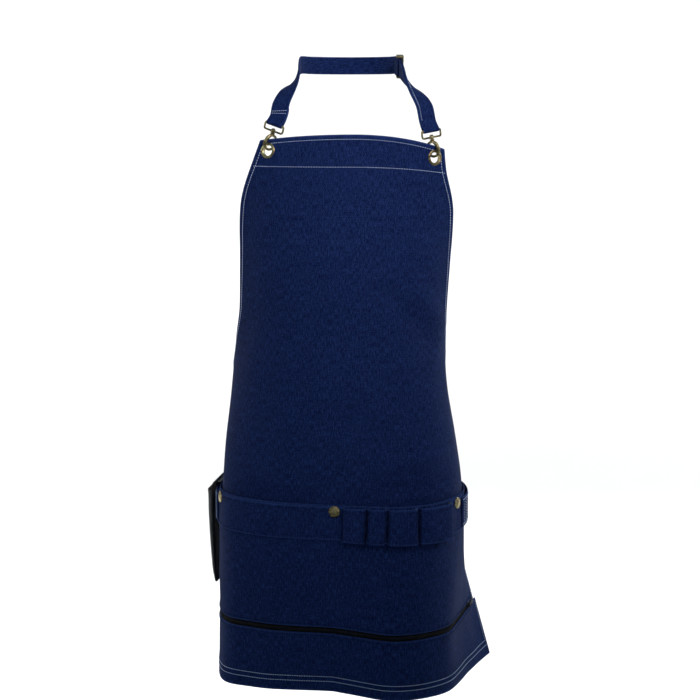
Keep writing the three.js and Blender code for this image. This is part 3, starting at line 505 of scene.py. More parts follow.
def brass():
    looks = bpy.context.scene.apron_looks
    values = {"Bright": colour(looks.brass), "Age": looks.patina}
    return finish_material("aged_brass", "Patina", values, "Object", (0.12, 0.0002), Metallic=1.0)


def weave(name, base, light, scale, source, bump, **shader):
    """A material of plain woven or spun yarn, from its dark and its light colour."""
    values = {"Base": colour(base), "Light": colour(light), "Scale": scale}
    return finish_material(name, "Plain Weave", values, source, bump, **shader)


def thread():
    looks = bpy.context.scene.apron_looks
    return weave("topstitch_thread", looks.thread, (0.78, 0.9, 1), 2600.0, "Object", (0.3, 0.0002),
                 Sheen_Weight=0.2)


def navy_thread():
    return weave("navy_thread", (0.003, 0.008, 0.04), (0.01, 0.024, 0.1), 2600.0, "Object", (0.3, 0.0002),
                 Specular_IOR_Level=0.03)


def zip_cloth():
    return weave("zip_webbing", (0.003, 0.003, 0.004), (0.014, 0.014, 0.016), 1500.0, "UV", (0.4, 0.0003),
                 Specular_IOR_Level=0.08)


def zip_nylon():
    return weave("zip_nylon", (0.005, 0.005, 0.006), (0.014, 0.014, 0.017), 800.0, "Object", (0.1, 0.0002),
                 Specular_IOR_Level=0.25)


def pouch_cloth():
    return weave("pouch_weave", (0.006, 0.006, 0.008), (0.022, 0.022, 0.025), 1100.0, "Object",
                 (0.5, 0.0004), Specular_IOR_Level=0.25, Sheen_Weight=0.1)


def pouch_thread():
    return weave("pouch_thread", (0.03, 0.03, 0.033), (0.12, 0.12, 0.13), 2600.0, "Object", (0.3, 0.0002))


# ---- Mesh makers ---------------------------------------------------------------------------


def clear_selection():
    for piece in list(bpy.context.selected_objects):
        piece.select_set(False)


def choose(piece):
    clear_selection()
    piece.select_set(True)
    bpy.context.view_layer.objects.active = piece


def rides(piece, body, replaces=()):
    """Puts a finished piece on its body and the nodes it stands for."""
    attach(piece, body)
    if replaces:
        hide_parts(*replaces)
    return piece


def mesh_piece(name, points, faces, material, uv=None, edge=None):
    """A smooth-shaded mesh object, with an optional UV and edge value for each vertex."""
    mesh = bpy.data.meshes.new(name)
    mesh.from_pydata([tuple(p) for p in points], [], faces)
    mesh.polygons.foreach_set("use_smooth", [True] * len(mesh.polygons))
    if uv is not None:
        corners = np.empty(len(mesh.loops), dtype=np.int32)
        mesh.loops.foreach_get("vertex_index", corners)
        layer = mesh.uv_layers.new(name="UVMap")
        layer.data.foreach_set("uv", np.asarray(uv, np.float32)[corners].ravel())
    if edge is not None:
        values = mesh.attributes.new("edge", "FLOAT", "POINT")
        values.data.foreach_set("value", np.asarray(edge, np.float32))
    mesh.materials.append(material)
    mesh.update()
    piece = bpy.data.objects.new(name, mesh)
    bpy.context.scene.collection.objects.link(piece)
    return piece


def boundary(rows, cols):
    """Indices round the edge of a grid, in order."""
    top = [(0, c) for c in range(cols)]
    right = [(r, cols - 1) for r in range(1, rows)]
    foot = [(rows - 1, c) for c in range(cols - 2, -1, -1)]
    left = [(r, 0) for r in range(rows - 2, 0, -1)]
    return top + right + foot + left


def cloth_piece(name, outer, inner, uv, material, edge=None, inside=None):
    """A closed layer of cloth between two grids of points, with a rounded rim."""
    rows, cols = outer.shape[:2]
    count = rows * cols
    points = np.concatenate([outer.reshape(-1, 3), inner.reshape(-1, 3)])
    flat = np.concatenate([uv.reshape(-1, 2)] * 2)
    edge = np.zeros((rows, cols)) if edge is None else edge
    # Edge values make the twill paler near the cut edges: rubbed wear plus a painted rim highlight.
    rubbed_and_rim_lit = np.concatenate([edge.ravel(), edge.ravel()])
    r, c = np.meshgrid(np.arange(rows - 1), np.arange(cols - 1), indexing="ij")
    a = (r * cols + c).ravel()
    front = np.stack([a, a + cols, a + cols + 1, a + 1], axis=1)
    back = front[:, ::-1] + count
    rim = boundary(rows, cols)
    middle = []
    for row, col in rim:
        near_r = min(max(row, 1), rows - 2)
        near_c = min(max(col, 1), cols - 2)
        spot = (outer[row, col] + inner[row, col]) / 2
        away = spot - (outer[near_r, near_c] + inner[near_r, near_c]) / 2
        thick = np.linalg.norm(outer[row, col] - inner[row, col])
        length = np.linalg.norm(away)
        middle.append(spot + away / max(length, 1e-9) * thick * 0.45)
    points = np.concatenate([points, np.array(middle)])
    flat = np.concatenate([flat, np.array([uv[row, col] for row, col in rim])])
    # Rim vertices get the full edge value: rubbed wear plus a painted rim highlight.
    rubbed_and_rim_lit = np.concatenate([rubbed_and_rim_lit, np.ones(len(rim))])
    sides = []
    for k, (row, col) in enumerate(rim):
        nxt = (k + 1) % len(rim)
        row2, col2 = rim[nxt]
        first, second = row * cols + col, row2 * cols + col2
        mid, mid2 = 2 * count + k, 2 * count + nxt
        sides.append((first, second, mid2, mid))
        sides.append((mid, mid2, second + count, first + count))
    faces = [*map(tuple, front.tolist()), *map(tuple, back.tolist()), *sides]
    piece = mesh_piece(name, points, faces, material, flat, rubbed_and_rim_lit)
    if inside is not None:
        piece.data.materials.append(inside)
        start = len(front)
        for polygon in piece.data.polygons[start:start + len(back)]:
            polygon.material_index = 1
    return piece


def hem_columns(half, count, zone):
    """Places from -half to half, close together in the hem zones."""
    near = HEM_STEPS * zone
    middle = np.linspace(-half + 1.4 * zone, half - 1.4 * zone, count)
    return np.concatenate([-half + near, middle, half - near[::-1]])


def hem_puff(distance, zone, high):
    """Extra thickness over a folded hem, falling away at its stitch line."""
    inside = np.clip((zone - distance) / (0.14 * zone), 0, 1)
    return high * inside * (0.75 + 0.25 * np.sin(np.pi * np.clip(distance / zone, 0, 1)))


def spaced(points, outs, pitch):
    """Points and outward directions at even steps along a line, with its directions."""
    steps = np.linalg.norm(np.diff(points, axis=0), axis=1)
    run = np.concatenate([[0], np.cumsum(steps)])
    count = max(2, int(run[-1] / pitch))
    at = (np.arange(count) + 0.5) * run[-1] / count
    spots = np.stack([np.interp(at, run, points[:, k]) for k in range(3)], axis=1)
    away = np.stack([np.interp(at, run, outs[:, k]) for k in range(3)], axis=1)
    ahead = np.stack([np.interp(at + pitch / 4, run, points[:, k])
                      - np.interp(at - pitch / 4, run, points[:, k]) for k in range(3)], axis=1)
    ahead /= np.linalg.norm(ahead, axis=1)[:, None]
    away -= (away * ahead).sum(1)[:, None] * ahead
    away /= np.linalg.norm(away, axis=1)[:, None]
    return spots, ahead, away


def bead(size, sides, rings):
    """Points and faces of one small rounded bead with the half sizes given."""
    clear_selection()
    bpy.ops.mesh.primitive_uv_sphere_add(segments=sides, ring_count=rings)
    bit = bpy.context.object
    points = np.array([tuple(v.co) for v in bit.data.vertices]) * np.array(size)
    faces = [tuple(p.vertices) for p in bit.data.polygons]
    bpy.data.objects.remove(bit)
    return points, faces


def repeated(name, bit, runs, material, pitch, lift=0.0, tilt=0.0):
    """Copies of one bit along each run of (points, outs), joined in one piece."""
    shape, faces = bit
    points, all_faces = [], []
    for line, outs in runs:
        spots, ahead, away = spaced(line, outs, pitch)
        across = np.cross(ahead, away)
        if tilt:
            ahead = ahead * math.cos(tilt) + across * math.sin(tilt)
            across = np.cross(ahead, away)
        for k in range(len(spots)):
            base = len(points) * len(shape)
            basis = np.stack([ahead[k], across[k], away[k]])
            points.append(shape @ basis + spots[k] + away[k] * lift)
            all_faces.extend(tuple(base + i for i in face) for face in faces)
    return mesh_piece(name, np.concatenate(points), all_faces, material)


def in_place(piece, matrix):
    """Moves a piece's mesh by matrix, leaving its object at the origin."""
    choose(piece)
    piece.matrix_world = matrix @ piece.matrix_world
    bpy.ops.object.transform_apply(location=True, rotation=True, scale=True)
    return piece


def joined(pieces):
    """One piece made of several, under the first one's name."""
    clear_selection()
    for piece in pieces:
        piece.select_set(True)
    bpy.context.view_layer.objects.active = pieces[0]
    bpy.ops.object.join()
    return pieces[0]


def round_edges(piece, width, degrees):
    """Bevels the edges that turn more than the angle given."""
    rounding = piece.modifiers.new("Rounded edges", "BEVEL")
    rounding.width = width
    rounding.segments = 2
    rounding.limit_method = "ANGLE"
    rounding.angle_limit = math.radians(degrees)
    bpy.ops.object.modifier_apply(modifier=rounding.name)


def turned(name, profile, material, matrix, sides=40, closed=False, bevel=0.15 * MM):
    """A piece turned about local Z from (radius, height) pairs, then put in its place."""
    clear_selection()
    radius, height = profile[0]
    bpy.ops.mesh.primitive_circle_add(vertices=sides, radius=radius, location=(0, 0, height))
    piece = bpy.context.object
    piece.name = name
    piece.data.name = name
    bpy.ops.object.mode_set(mode="EDIT")
    bpy.ops.mesh.select_all(action="SELECT")
    if not closed:
        bpy.ops.mesh.edge_face_add()
    for wide, high in profile[1:]:
        bpy.ops.mesh.extrude_region_move(TRANSFORM_OT_translate={"value": (0, 0, high - height)})
        grow = wide / radius
        bpy.ops.transform.resize(value=(grow, grow, 1))
        radius, height = wide, high
    bpy.ops.mesh.select_all(action="SELECT")
    bpy.ops.mesh.remove_doubles(threshold=0.005 * MM)
    bpy.ops.mesh.normals_make_consistent(inside=False)
    bpy.ops.object.mode_set(mode="OBJECT")
    if bevel:
        round_edges(piece, bevel, 35)
    bpy.ops.object.shade_smooth_by_angle(angle=math.radians(40))
    piece.data.materials.append(material)
    return in_place(piece, matrix)


def rod(name, spots, radius, material, matrix, closed=False, tips=(True, True), sizes=None):
    """A round wire through spots, with rounded tips, put in its place."""
    clear_selection()
    bpy.ops.curve.primitive_bezier_curve_add(location=(0, 0, 0))
    piece = bpy.context.object
    piece.name = name
    curve = piece.data
    curve.name = name
    curve.splines.clear()
    spots = [Vector(spot) for spot in spots]
    sizes = list(sizes) if sizes is not None else [1.0] * len(spots)
    if not closed:
        for end, tip in ((0, tips[0]), (-1, tips[1])):
            if not tip:
                continue
            away = (spots[end] - spots[1 if end == 0 else -2]).normalized()
            for size in (0.92, 0.7, 0.4):
                spot = spots[end] + away * radius * 0.35
                if end == 0:
                    spots.insert(0, spot)
                    sizes.insert(0, size)
                else:
                    spots.append(spot)
                    sizes.append(size)
    spline = curve.splines.new("POLY")
    spline.points.add(len(spots) - 1)
    for point, spot, size in zip(spline.points, spots, sizes):
        point.co = (*spot, 1)
        point.radius = size
    spline.use_cyclic_u = closed
    curve.dimensions = "3D"
    curve.bevel_depth = radius
    curve.bevel_resolution = 3
    curve.use_fill_caps = not closed
    bpy.ops.object.convert(target="MESH")
    piece = bpy.context.object
    piece.data.name = name
    bpy.ops.object.shade_smooth_by_angle(angle=math.radians(60))
    piece.data.materials.append(material)
    return in_place(piece, matrix)


def seat(u, z):
    """A place on the cloth: local X along it, Y up it and Z straight out of it."""
    spot = FORM.place(u, z)
    step = 4 * MM
    across = Vector(FORM.place(u + step, z) - FORM.place(u - step, z)).normalized()
    up = Vector(FORM.place(u, z + step) - FORM.place(u, z - step)).normalized()
    away = across.cross(up).normalized()
    up = away.cross(across)
    return Matrix.Translation(Vector(spot)) @ Matrix((across, up, away)).transposed().to_4x4()


def hook_place(i):
    """A snap hook's place, upright over its eyelet: local -Y is outwards."""
    u = EYELET_SIDE[i]
    z = float(bib_edge(np.array(u))) - EYELET_DEEP[i]
    x, y, _ = FORM.place(u, z, -HOOK_BACK)
    turn = Matrix.Rotation(FORM.heading(u, z), 4, "Z")
    lean = Matrix.Rotation(math.radians(HOOK_LEAN[i]), 4, "Y")
    return Matrix.Translation((x, y, z + HOOK_DROP)) @ turn @ lean


def surface_line(us, zs, out):
    """A line on the cloth and its outward directions."""
    line = FORM.place(us, zs, out)
    outs = FORM.place(us, zs, np.asarray(out) + 0.001) - line
    return line, outs / np.linalg.norm(outs, axis=1)[:, None]


def stitched(name, runs, material=None, body="root", pitch=None):
    """A line of topstitches along each run of (points, outs)."""
    looks = bpy.context.scene.apron_looks
    pitch = pitch or looks.stitch_pitch
    stitch = bead((pitch * STITCH_SHARE / 2, looks.thread_width / 2, looks.thread_width / 2), 6, 5)
    piece = repeated(name, stitch, runs, material or thread(), pitch, looks.thread_width * 0.22)
    return rides(piece, body)


def polished(node, material, bevel, body="root"):
    """A stand-in for a CAD piece with rounded edges, made from a merged copy of it."""
    source = frame["nodes"][node]
    piece = source.copy()
    piece.data = source.data.copy()
    piece.name = f"{node}_smooth"
    piece.parent = None
    bpy.context.scene.collection.objects.link(piece)
    choose(piece)
    bpy.ops.object.mode_set(mode="EDIT")
    bpy.ops.mesh.select_all(action="SELECT")
    bpy.ops.mesh.remove_doubles(threshold=0.000004)
    bpy.ops.mesh.dissolve_limited(angle_limit=math.radians(1))
    bpy.ops.object.mode_set(mode="OBJECT")
    round_edges(piece, bevel, 50)
    bpy.ops.object.shade_smooth_by_angle(angle=math.radians(50))
    piece.data.materials.clear()
    piece.data.materials.append(material)
    return rides(piece, body, (node,))


# ---- Strap runs ------------------------------------------------------------------------------


def centripetal(spots, count):
    """Evenly spaced points on a centripetal Catmull-Rom curve through spots."""
    spots = np.asarray(spots, float)
    spots = np.concatenate([[2 * spots[0] - spots[1]], spots, [2 * spots[-1] - spots[-2]]])
    fine = []
    for k in range(1, len(spots) - 2):
        p = spots[k - 1:k + 3]
        gaps = np.maximum(np.linalg.norm(np.diff(p, axis=0), axis=1) ** 0.5, 1e-5)
        t = np.linspace(0, 1, 24, endpoint=k == len(spots) - 3)[:, None]
        start = (p[1] - p[0]) / gaps[0] - (p[2] - p[0]) / (gaps[0] + gaps[1]) + (p[2] - p[1]) / gaps[1]
        end = (p[2] - p[1]) / gaps[1] - (p[3] - p[1]) / (gaps[1] + gaps[2]) + (p[3] - p[2]) / gaps[2]
        start, end = start * gaps[1], end * gaps[1]
        fine.append((2 * t**3 - 3 * t**2 + 1) * p[1] + (t**3 - 2 * t**2 + t) * start
                    + (3 * t**2 - 2 * t**3) * p[2] + (t**3 - t**2) * end)
    fine = np.concatenate(fine)
    run = np.concatenate([[0], np.cumsum(np.linalg.norm(np.diff(fine, axis=0), axis=1))])
    at = np.linspace(0, run[-1], count)
    return np.stack([np.interp(at, run, fine[:, k]) for k in range(3)], axis=1), run[-1]


def strap_frames(run, wides):
    """Width and outward directions along a strap."""
    ahead = np.gradient(run, axis=0)
    ahead /= np.linalg.norm(ahead, axis=1)[:, None]
    wides = wides - (wides * ahead).sum(1)[:, None] * ahead
    wides /= np.linalg.norm(wides, axis=1)[:, None]
    outs = np.cross(wides, ahead)
    return wides, outs


def strap_piece(name, run, wides, outs, width, thick, material):
    """A flat strap with rounded selvedges, its UV map in metres."""
    across = np.array([-1, -0.985, -0.94, -0.86, -0.6, -0.3, 0, 0.3, 0.6, 0.86, 0.94, 0.985, 1])
    swell = 1 - 0.55 * np.clip((np.abs(across) - 0.86) / 0.14, 0, 1) ** 2
    swell -= 0.16 * soft_bump(np.abs(across), 0.82, 0.05)
    reach = across[None, :, None] * wides[:, None, :] * width / 2
    lift = outs[:, None, :] * swell[None, :, None] * thick / 2
    centre = run[:, None, :]
    length = np.concatenate([[0], np.cumsum(np.linalg.norm(np.diff(run, axis=0), axis=1))])
    uv = np.stack(np.meshgrid(across * width / 2, length), axis=-1)
    # Paler near both selvedges: rubbed wear plus a painted rim highlight.
    edge = np.broadcast_to(np.clip((np.abs(across) - 0.88) / 0.12, 0, 1), uv.shape[:2])
    return cloth_piece(name, centre - reach + lift, centre - reach - lift, uv, material, edge)


def strap_seams(run, wides, outs, width, thick, inset, face=1):
    """Stitch lines along both selvedges, on one face."""
    return [(run + side * wides * (width / 2 - inset) + face * outs * thick * 0.44, face * outs)
            for side in (-1, 1)]


def waist_run(side):
    us = np.arange(BELT_START, EDGE + 0.001, 0.010)
    spots = FORM.place(side * us, np.full_like(us, BELT_Z), along(us, BELT_LIES))
    spots[:, 2] = BELT_Z
    over = BELT_THICK + 0.8 * MM if side > 0 else 0.0
    edge = spots[-1]
    back = [(edge[0] * across, edge[1] + (BELT_BACK_Y + over - edge[1]) * share, BELT_Z)
            for across, share in BELT_TURNS]
    spots = np.concatenate([spots, back, [(-side * BELT_LAP, BELT_BACK_Y + over, BELT_Z)]])
    run, _ = centripetal(spots, 150)
    wides, outs = strap_frames(run, np.tile((0.0, 0.0, 1.0), (len(run), 1)))
    return run, wides, outs


def strap_side(i):
    """One end of the neck strap: its ring's bar, directions there, and spots to the nape."""
    way = (-1, 1)[i]
    place = hook_place(i)
    turn = place.to_3x3()
    level = turn @ Vector((1, 0, 0))
    rise = (turn @ Vector(STRAP_RISE)).normalized()
    out = level.cross(rise).normalized()
    bar = place @ Vector((0, 0, RING_MIDDLE + RING_HALF[1]))
    first = bar + out * FOLD
    spots = [first, first + rise * 12 * MM]
    spots += [Vector((way * x, y, z)) * MM for x, y, z in SHOULDER[i]]
    for degrees in (20, 40, 60, 80):
        angle = math.radians(degrees)
        spots.append(Vector((way * NECK_RADIUS * math.cos(angle), NECK_Y + NECK_RADIUS * math.sin(angle),
                             -STRAP_WIDE / 2)))
    return {"bar": bar, "level": level * -way, "rise": rise, "out": out, "spots": spots}


def fold_round(bar, level, rise, out, radius):
    """Half a turn of strap round a bar, as (spot, width direction, outward direction)."""
    frames = []
    for k in range(FOLD_FRAMES):
        angle = math.pi * (k + 0.5) / FOLD_FRAMES
        away = out * math.cos(angle) - rise * math.sin(angle)
        frames.append((bar + away * radius, level, away))
    return frames


def neck_run():
    """The neck strap's main run between the rings, its frames and pitch."""
    steps = RUN_FRAMES
    ends = [strap_side(0), strap_side(1)]
    nape = Vector((0, NECK_Y + NECK_RADIUS, -STRAP_WIDE / 2))
    spots = [*ends[0]["spots"], nape, *reversed(ends[1]["spots"])]
    run, length = centripetal(spots, steps + 1)
    pitch = length / steps
    k = np.arange(steps + 1)
    near = np.clip((np.minimum(k, steps - k) * pitch - 0.02) / 0.13, 0, 1)
    twist = (near**2 * (3 - 2 * near))[:, None]
    level = np.where((k < steps / 2)[:, None], np.array(ends[0]["level"]), np.array(ends[1]["level"]))
    wides, outs = strap_frames(run, level * (1 - twist) + np.array((0, 0, 1.0)) * twist)
    frames = [(Vector(a), Vector(b), Vector(c)) for a, b, c in zip(run, wides, outs)]
    return ends, frames, pitch


def neck_path():
    """All frames of the folded neck strap, and the place of its slider's middle bar."""
    ends, frames, pitch = neck_run()
    last = len(frames) - 1

    def turned_back(k, spread):
        spot, wide, out = frames[k]
        return spot - out * spread, wide, -out

    def spread_at(k):
        return 2 * FOLD + (RETURN_GAP - 2 * FOLD) * min(1, k * pitch / (14 * MM))

    short = [turned_back(k, spread_at(k)) for k in range(round(RETURN_SHORT / pitch), 0, -1)]
    slider = round(SLIDER_AT / pitch)
    long = [turned_back(last - k, spread_at(k)) for k in range(1, slider + 1)]
    spot, wide, out = frames[last - slider]
    turn = SLIDER_BAR + 0.3 * MM + STRAP_THICK / 2
    ahead = out.cross(wide)
    bar = spot - out * (RETURN_GAP + turn)
    round_bar = [(a, b, -c) for a, b, c in fold_round(bar, wide, ahead, out, turn)]
    stub = []
    for k in range(slider - 1, slider - int(STUB_LONG / pitch), -1):
        near = min(1, (slider - k) * pitch / (12 * MM))
        spread = RETURN_GAP + 2 * turn + (RETURN_GAP - 2 * turn) * near
        a, b, c = turned_back(last - k, spread)
        stub.append((a, b, -c))
    ring = [[end[key] for key in ("bar", "level", "rise", "out")] for end in ends]
    path = [*short, *reversed(fold_round(*ring[0], FOLD)), *frames[1:-1], *fold_round(*ring[1], FOLD), *long,
            *round_bar, *stub]
    start = len(short) + FOLD_FRAMES
    return path, {"run": (start, start + len(frames) - 3), "pitch": pitch}


# ---- Settings -------------------------------------------------------------------------------


class ApronLooks(bpy.types.PropertyGroup):
    """Colours and thread sizes of the apron"""

    warp: bpy.props.FloatVectorProperty(
        name="Warp", description="Indigo of the cloth's face", subtype="COLOR", min=0, max=1,
        default=(0.0020, 0.0078, 0.046))
    weft: bpy.props.FloatVectorProperty(
        name="Weft", description="Pale yarn between the indigo ones", subtype="COLOR", min=0, max=1,
        default=(0.019, 0.042, 0.155))
    inside: bpy.props.FloatVectorProperty(
        name="Inside", description="Cloth's paler wrong side", subtype="COLOR", min=0, max=1,
        default=(0.1, 0.13, 0.22))
    # How pale the cloth's edges go: partly rubbed wear, partly a painted rim highlight.
    edge_wear_and_rim_light: bpy.props.FloatProperty(
        name="Edge Wear And Rim Light", description="How pale folded edges have rubbed", default=0.8, min=0, max=1)
    thread: bpy.props.FloatVectorProperty(
        name="Thread", description="Topstitch thread", subtype="COLOR", min=0, max=1,
        default=(0.55, 0.7, 1.0))
    thread_width: bpy.props.FloatProperty(
        name="Thread Width", description="Thickness of the topstitch thread", subtype="DISTANCE",
        default=0.95 * MM, min=0.0002, max=0.002)
    stitch_pitch: bpy.props.FloatProperty(
        name="Stitch Length", description="From one stitch to the next", subtype="DISTANCE",
        default=3.6 * MM, min=0.002, max=0.006)
    brass: bpy.props.FloatVectorProperty(
        name="Brass", description="Rubbed parts of the fittings", subtype="COLOR", min=0, max=1,
        default=(0.5, 0.42, 0.21))
    patina: bpy.props.FloatProperty(
        name="Patina", description="How far the brass has darkened", default=0.6, min=0, max=1)


class ApronStudio(bpy.types.PropertyGroup):
    """Camera and studio light"""

    distance: bpy.props.FloatProperty(
        name="Camera Distance", description="From the wearer's centre line", subtype="DISTANCE",
        default=2.5, min=0.5, max=10)
    eye: bpy.props.FloatProperty(
        name="Camera Height", description="Above the nape of the neck", subtype="DISTANCE",
        default=-0.075, min=-2, max=2)
    pitch: bpy.props.FloatProperty(
        name="Camera Tilt", description="Downward tilt", subtype="ANGLE",
        default=math.radians(7.65), min=0, max=1)
    lens: bpy.props.FloatProperty(
        name="Lens", description="Focal length", subtype="DISTANCE_CAMERA", default=91.85, min=10, max=300)
    key: bpy.props.FloatProperty(
        name="Key Light", description="Power of the lights on the apron", subtype="POWER",
        default=20.0, min=0, max=1000)
    wall: bpy.props.FloatProperty(
        name="Backdrop Light", description="Power of each light on the backdrop", subtype="POWER",
        default=140.0, min=0, max=2000)


# ---- Operators --------------------------------------------------------------------------------

FLOOR = -1.55
FLOOR_RADIUS = 4.5
BACKDROP = ((4.9, 0.03), (5.3, 0.12), (5.7, 0.3), (6.0, 0.55), (6.2, 0.9), (6.3, 1.4), (6.3, 1.6))
WARM = (1, 0.88, 0.93)
COOL = (0.4, 0.85, 1)
WHITE = (1, 1, 1)
KEY_CONE = math.radians(41)


class APRON_OT_stage(bpy.types.Operator):
    """Set the camera, the pale backdrop and the soft studio lights"""

    bl_idname = "apron.stage"
    bl_label = "Stage"

    def execute(self, context):
        studio = context.scene.apron_studio
        bpy.ops.object.camera_add(location=(0, -studio.distance, studio.eye),
                                  rotation=(math.pi / 2 - studio.pitch, 0, 0))
        camera = context.object
        camera.data.lens = studio.lens
        camera.data.sensor_width = 36
        context.scene.camera = camera

        clear_selection()
        bpy.ops.mesh.primitive_circle_add(vertices=96, radius=FLOOR_RADIUS, location=(0, 0, FLOOR))
        backdrop = context.object
        backdrop.name = "backdrop"
        backdrop.data.name = "backdrop"
        bpy.ops.object.mode_set(mode="EDIT")
        bpy.ops.mesh.select_all(action="SELECT")
        bpy.ops.mesh.edge_face_add()
        bpy.ops.mesh.select_all(action="SELECT")
        wide = FLOOR_RADIUS
        for grown, rise in BACKDROP:
            bpy.ops.mesh.extrude_region_move(TRANSFORM_OT_translate={"value": (0, 0, rise)})
            bpy.ops.transform.resize(value=(grown / wide, grown / wide, 1))
            wide = grown
        bpy.ops.mesh.delete(type="ONLY_FACE")
        bpy.ops.mesh.select_all(action="SELECT")
        bpy.ops.mesh.normals_make_consistent(inside=True)
        bpy.ops.object.mode_set(mode="OBJECT")
        bpy.ops.object.shade_smooth()
        bpy.ops.object.transform_apply(location=True, rotation=True, scale=True)
        white = bpy.data.materials.new("studio_white")
        white.use_nodes = True
        shader = white.node_tree.nodes["Principled BSDF"]
        shader.inputs["Base Color"].default_value = (0.9, 0.9, 0.9, 1)
        shader.inputs["Roughness"].default_value = 0.9
        grain = white.node_tree.nodes.new("ShaderNodeTexNoise")
        grain.inputs["Scale"].default_value = 40
        bump = white.node_tree.nodes.new("ShaderNodeBump")
        bump.inputs["Strength"].default_value = 0.02
        white.node_tree.links.new(grain.outputs["Fac"], bump.inputs["Height"])
        white.node_tree.links.new(bump.outputs["Normal"], shader.inputs["Normal"])
        backdrop.data.materials.append(white)

        world = bpy.data.worlds.new("studio_sky")
        world.use_nodes = True
        world.node_tree.nodes["Background"].inputs["Color"].default_value = (0.6, 0.85, 1, 1)
        world.node_tree.nodes["Background"].inputs["Strength"].default_value = 0.08
        context.scene.world = world
        context.scene.view_settings.view_transform = "Standard"

        chest, wall = (0, 0, -0.2), (0, 5.5, -0.6)
        lights = (
            ("key", "SPOT", (0.7, -2.1, 1.1), (0, 0, 0.13), 0.5, studio.key * 10, WARM),
            ("fill", "AREA", (-1.6, -1.6, 0.8), chest, 1.1, studio.key * 0.2, COOL),
            ("side", "AREA", (1.5, 0.9, 0.7), chest, 1.0, studio.key * 0.3, COOL),
            ("wall_right", "AREA", (-2.4, 1.2, 0.6), wall, 2.0, studio.wall, WHITE),
            ("wall_left", "AREA", (2.4, 1.2, 0.6), wall, 2.0, studio.wall, WHITE),
        )
        for name, kind, spot, aim, size, power, tint in lights:
            clear_selection()
            bpy.ops.object.light_add(type=kind, location=spot)
            light = context.object
            light.name = f"{name}_light"
            light.data.energy = power
            light.data.color = tint
            if kind == "SPOT":
                light.data.shadow_soft_size = size / 2
                light.data.spot_size = KEY_CONE
                light.data.spot_blend = 1.0
            else:
                light.data.shape = "DISK"
                light.data.size = size
            light.visible_camera = False
            way = Vector(aim) - Vector(spot)
            light.rotation_euler = way.to_track_quat("-Z", "Y").to_euler()
        return {"FINISHED"}


